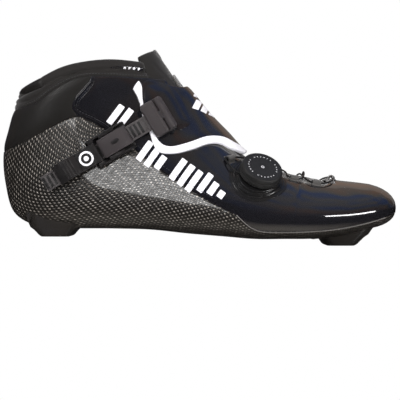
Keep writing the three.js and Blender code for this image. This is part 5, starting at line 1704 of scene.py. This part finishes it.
# %% Knob with its knurl and ticks
KNOB, SKIRT, TOP = 14.3, 4.6, 11.8
knob_line = [(0, 9.4), (12.3, 9.4), (12.5, 9.2), (12.5, SKIRT + 0.3), (12.8, SKIRT), (13.9, SKIRT),
             (KNOB, SKIRT + 0.4), (KNOB, 7.6), (KNOB - 0.5, 7.9), (KNOB - 0.5, 8.2), (KNOB - 0.1, 8.5),
             (KNOB - 0.1, TOP - 1.7),
             (KNOB - 0.5, TOP - 0.8), (KNOB - 1.3, TOP - 0.15), (KNOB - 2.1, TOP), (KNOB - 2.6, TOP - 0.12),
             (10.5, TOP - 0.3), (0, TOP - 0.35)]
parts = [turned("knob", knob_line, dial_frame, 96)]
RIBS = 60
shape, shape_faces = capsule()
rib_points, rib_faces = [], []
for k in range(RIBS):
    angle = 2 * math.pi * k / RIBS
    way = np.array([math.cos(angle), math.sin(angle), 0])
    basis = np.stack([(0, 0, 1.25), way * 0.42, np.cross((0, 0, 1), way) * 0.42])
    rib_faces += [tuple(i + k * len(shape) for i in f) for f in shape_faces]
    rib_points.append(way * (KNOB - 0.12) + (0, 0, 6.0) + shape @ basis)
parts.append(make_mesh("knurl", in_frame(dial_frame, np.concatenate(rib_points)), rib_faces))
belongs(joined("knob_cap", parts), dial_black, "dial_plastic", "dial_knob", body="knob")
print("knob:", RIBS, "ribs")

# %% [markdown]
# ### Ticks on the knob
# Pale ticks run round the knob's face, as on a scale, with every third one short and wide and a
# gap in each seven. They are thin boxes, and a small ring marks the middle.

# %% Ticks
tick_points, tick_faces = [], []
TICKS, TICK_RADIUS = 26, 9.7
BOX_FACES = ((3, 2, 1, 0), (4, 5, 6, 7), (0, 1, 5, 4), (1, 2, 6, 5), (2, 3, 7, 6), (3, 0, 4, 7))
for k in range(TICKS):
    if k % 7 == 3:
        continue
    angle = 2 * math.pi * k / TICKS
    way = np.array([math.cos(angle), math.sin(angle), 0])
    side = np.cross((0, 0, 1), way)
    half_wide, half_long = (0.3, 0.45) if k % 3 else (0.6, 0.25)
    center = way * TICK_RADIUS + (0, 0, TOP - 0.3)
    corner = len(tick_points)
    for z in (0, 0.12):
        tick_points += [center + way * half_long * a + side * half_wide * b + (0, 0, z)
                        for a, b in ((-1, -1), (1, -1), (1, 1), (-1, 1))]
    tick_faces += [tuple(corner + i for i in f) for f in BOX_FACES]
ring_line = [(0.55, TOP - 0.36), (1.15, TOP - 0.36), (1.15, TOP - 0.22), (0.55, TOP - 0.22)]
parts = [make_mesh("ticks", in_frame(dial_frame, tick_points), tick_faces),
         turned("dot", ring_line, dial_frame, 24)]
belongs(joined("knob_ticks", parts), print_grey, "white_edge", body="knob")
print("dial is in place")

# %% [markdown]
# ## Lace and its loops
# A thin braided lace leaves the dial, crosses the throat from loop to loop and comes back. The
# boot holds it all the way, so its route is fixed: through each loop, and a little above the tape
# between them. The loops are folded strips of webbing round the lace, sewn down by their feet.

# %% Guide loops
GUIDES = {"lateral_rear": (20, -29.5, (0.55, 0.83)), "lateral_middle": (64, -22.5, (1, 0.05)),
          "lateral_front": (79, -22.5, (1, 0.1)), "medial_rear": (46, 28, (1, 0.05)),
          "medial_middle": (61, 29.5, (1, 0.05)), "medial_front": (77, 30, (1, 0)), "toe": (91.5, 3, (0, 1))}
LIFT = 1.85
guide_frames = {}
arch = []
for wide, high, turn in ((2.145, 1.56, range(0, 181, 15)), (1.3, 1.04, range(180, -1, -15))):
    arch += [(wide * math.cos(math.radians(a)), LIFT + high * math.sin(math.radians(a))) for a in turn]
    foot = [(2.3, 0.9), (3.4, 0.75), (3.5, 0.35), (2.2, 0.35), (1.3, 0.7)]
    arch += foot[::-1] if arch[-1][0] > 0 else [(-x, z) for x, z in foot]


def rough_place(x, turn):
    """Where Newton's search starts for a point on the instep."""
    return 1 + (92 - x) / 18, turn


for name, (x, y, run) in GUIDES.items():
    spot, out = find_on_surface({0: x, 1: y}, rough_place(x, 0.44 if y < 3 else 0.56))
    guide_frames[name] = frame_at(spot, out, (*run, 0))
    turned_frame = guide_frames[name] @ Matrix.Rotation(math.pi / 2, 4, "Z")
    loop = swept(f"lace_loop_{name}", arch, 2.9, 0.14, frame_matrix=turned_frame)
    belongs(loop, webbing, "webbing", f"lace_guide_{name}")
ring_frame = (guide_frames["lateral_rear"] @ Matrix.Translation((-3.2 * MM, 0, LIFT * MM))
              @ Matrix.Rotation(math.pi / 2, 4, "Y"))
ring = turned("lace_ring", [(1.35, -0.5), (1.9, -0.5), (2.0, 0), (1.9, 0.5), (1.35, 0.5)], ring_frame, 28)
belongs(ring, dial_black, "webbing")
print("loops:", len(guide_frames))

# %% Lace route
LACE_RADIUS, MOUTH = 0.6, 4.6


def threaded(name, sense):
    """Three points through a loop."""
    return [guide_frames[name] @ Vector((x * sense * MM, 0, LIFT * MM)) / MM for x in (-MOUTH, 0, MOUTH)]


def over_boot(x, y, height):
    """A point at x and y, height mm over the form."""
    spot, out = find_on_surface({0: x, 1: y}, rough_place(x, 0.47 if y < 5 else 0.53))
    return spot + out * height


def from_dial(angle, radius, height):
    """A point round the dial's axis."""
    turn = math.radians(angle)
    return dial_frame @ Vector((radius * math.cos(turn) * MM, radius * math.sin(turn) * MM, height * MM)) / MM


route = [from_dial(188, HOUSING + GAP, 3.5), from_dial(180, 17, 3.4), *threaded("lateral_rear", 1),
         over_boot(31, -19, 1.8), over_boot(37, -5, 1.2), over_boot(39, 14, 1.4),
         *threaded("medial_rear", 1), over_boot(53.5, 19, 1.3), over_boot(56, 4, 0.1),
         over_boot(58.5, -12, 1.1), *threaded("lateral_middle", 1), over_boot(71, -12, 2.2),
         over_boot(72, 4, 1.9), over_boot(72.5, 20, 2.2), *threaded("medial_front", 1),
         over_boot(87, 20, 1.8), *threaded("toe", -1), over_boot(90, -13, 1.8),
         *threaded("lateral_front", -1), over_boot(72, -14, 0.5), over_boot(70, 4, 0.1),
         over_boot(68.5, 21, 1), *threaded("medial_middle", -1), over_boot(56, 22, 2.6),
         over_boot(54.5, 8, 2), over_boot(53.5, -9, 2.4), from_dial(38, 18.5, 3.6),
         from_dial(36, HOUSING + GAP, 3.5)]
route = np.array([tuple(p) for p in route])
even = catmull(route, np.linspace(0, len(route) - 1, 400))
cord_along("braided_lace", even, LACE_RADIUS, cord_black, "lace_cord", "lace")
print("lace:", round(float(np.linalg.norm(np.diff(even, axis=0), axis=1).sum())), "mm long")

# %% [markdown]
# ## Fittings kept from the frame
# Screws, pins, nuts, springs and the inserts already have their real shape, so they stay as they
# are and only get their finish. A small bevel takes the machine-sharp look off their edges.

# %% Finishes for the frame's own pieces
EDGE_BEVEL, EDGE_ANGLE = 0.15, math.radians(35)
KEPT = ((steel, ("strap_anchor_screw", "buckle_screw", "buckle_nut", "lever_pin", "release_pin",
                 "release_spring", "dial_screw", "ladder_screw", "drive_pawl", "drive_pawl_pin",
                 "drive_pawl_spring", "heel_slide_nut", "forefoot_slide_nut")),
        (aluminium, ("heel_mount_insert", "forefoot_mount_insert")),
        (moulded, ("strap_anchor_plate",)), (dial_black, ("dial_spool", "dial_hub")))
for material, names in KEPT:
    for name in names:
        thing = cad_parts[name]
        thing.data.materials.clear()
        thing.data.materials.append(material)
        if "spring" not in name:
            edge = thing.modifiers.new("edge", "BEVEL")
            edge.width, edge.segments, edge.limit_method = EDGE_BEVEL * MM, 2, "ANGLE"
            edge.angle_limit = EDGE_ANGLE
print("kept:", sum(len(names) for _, names in KEPT))
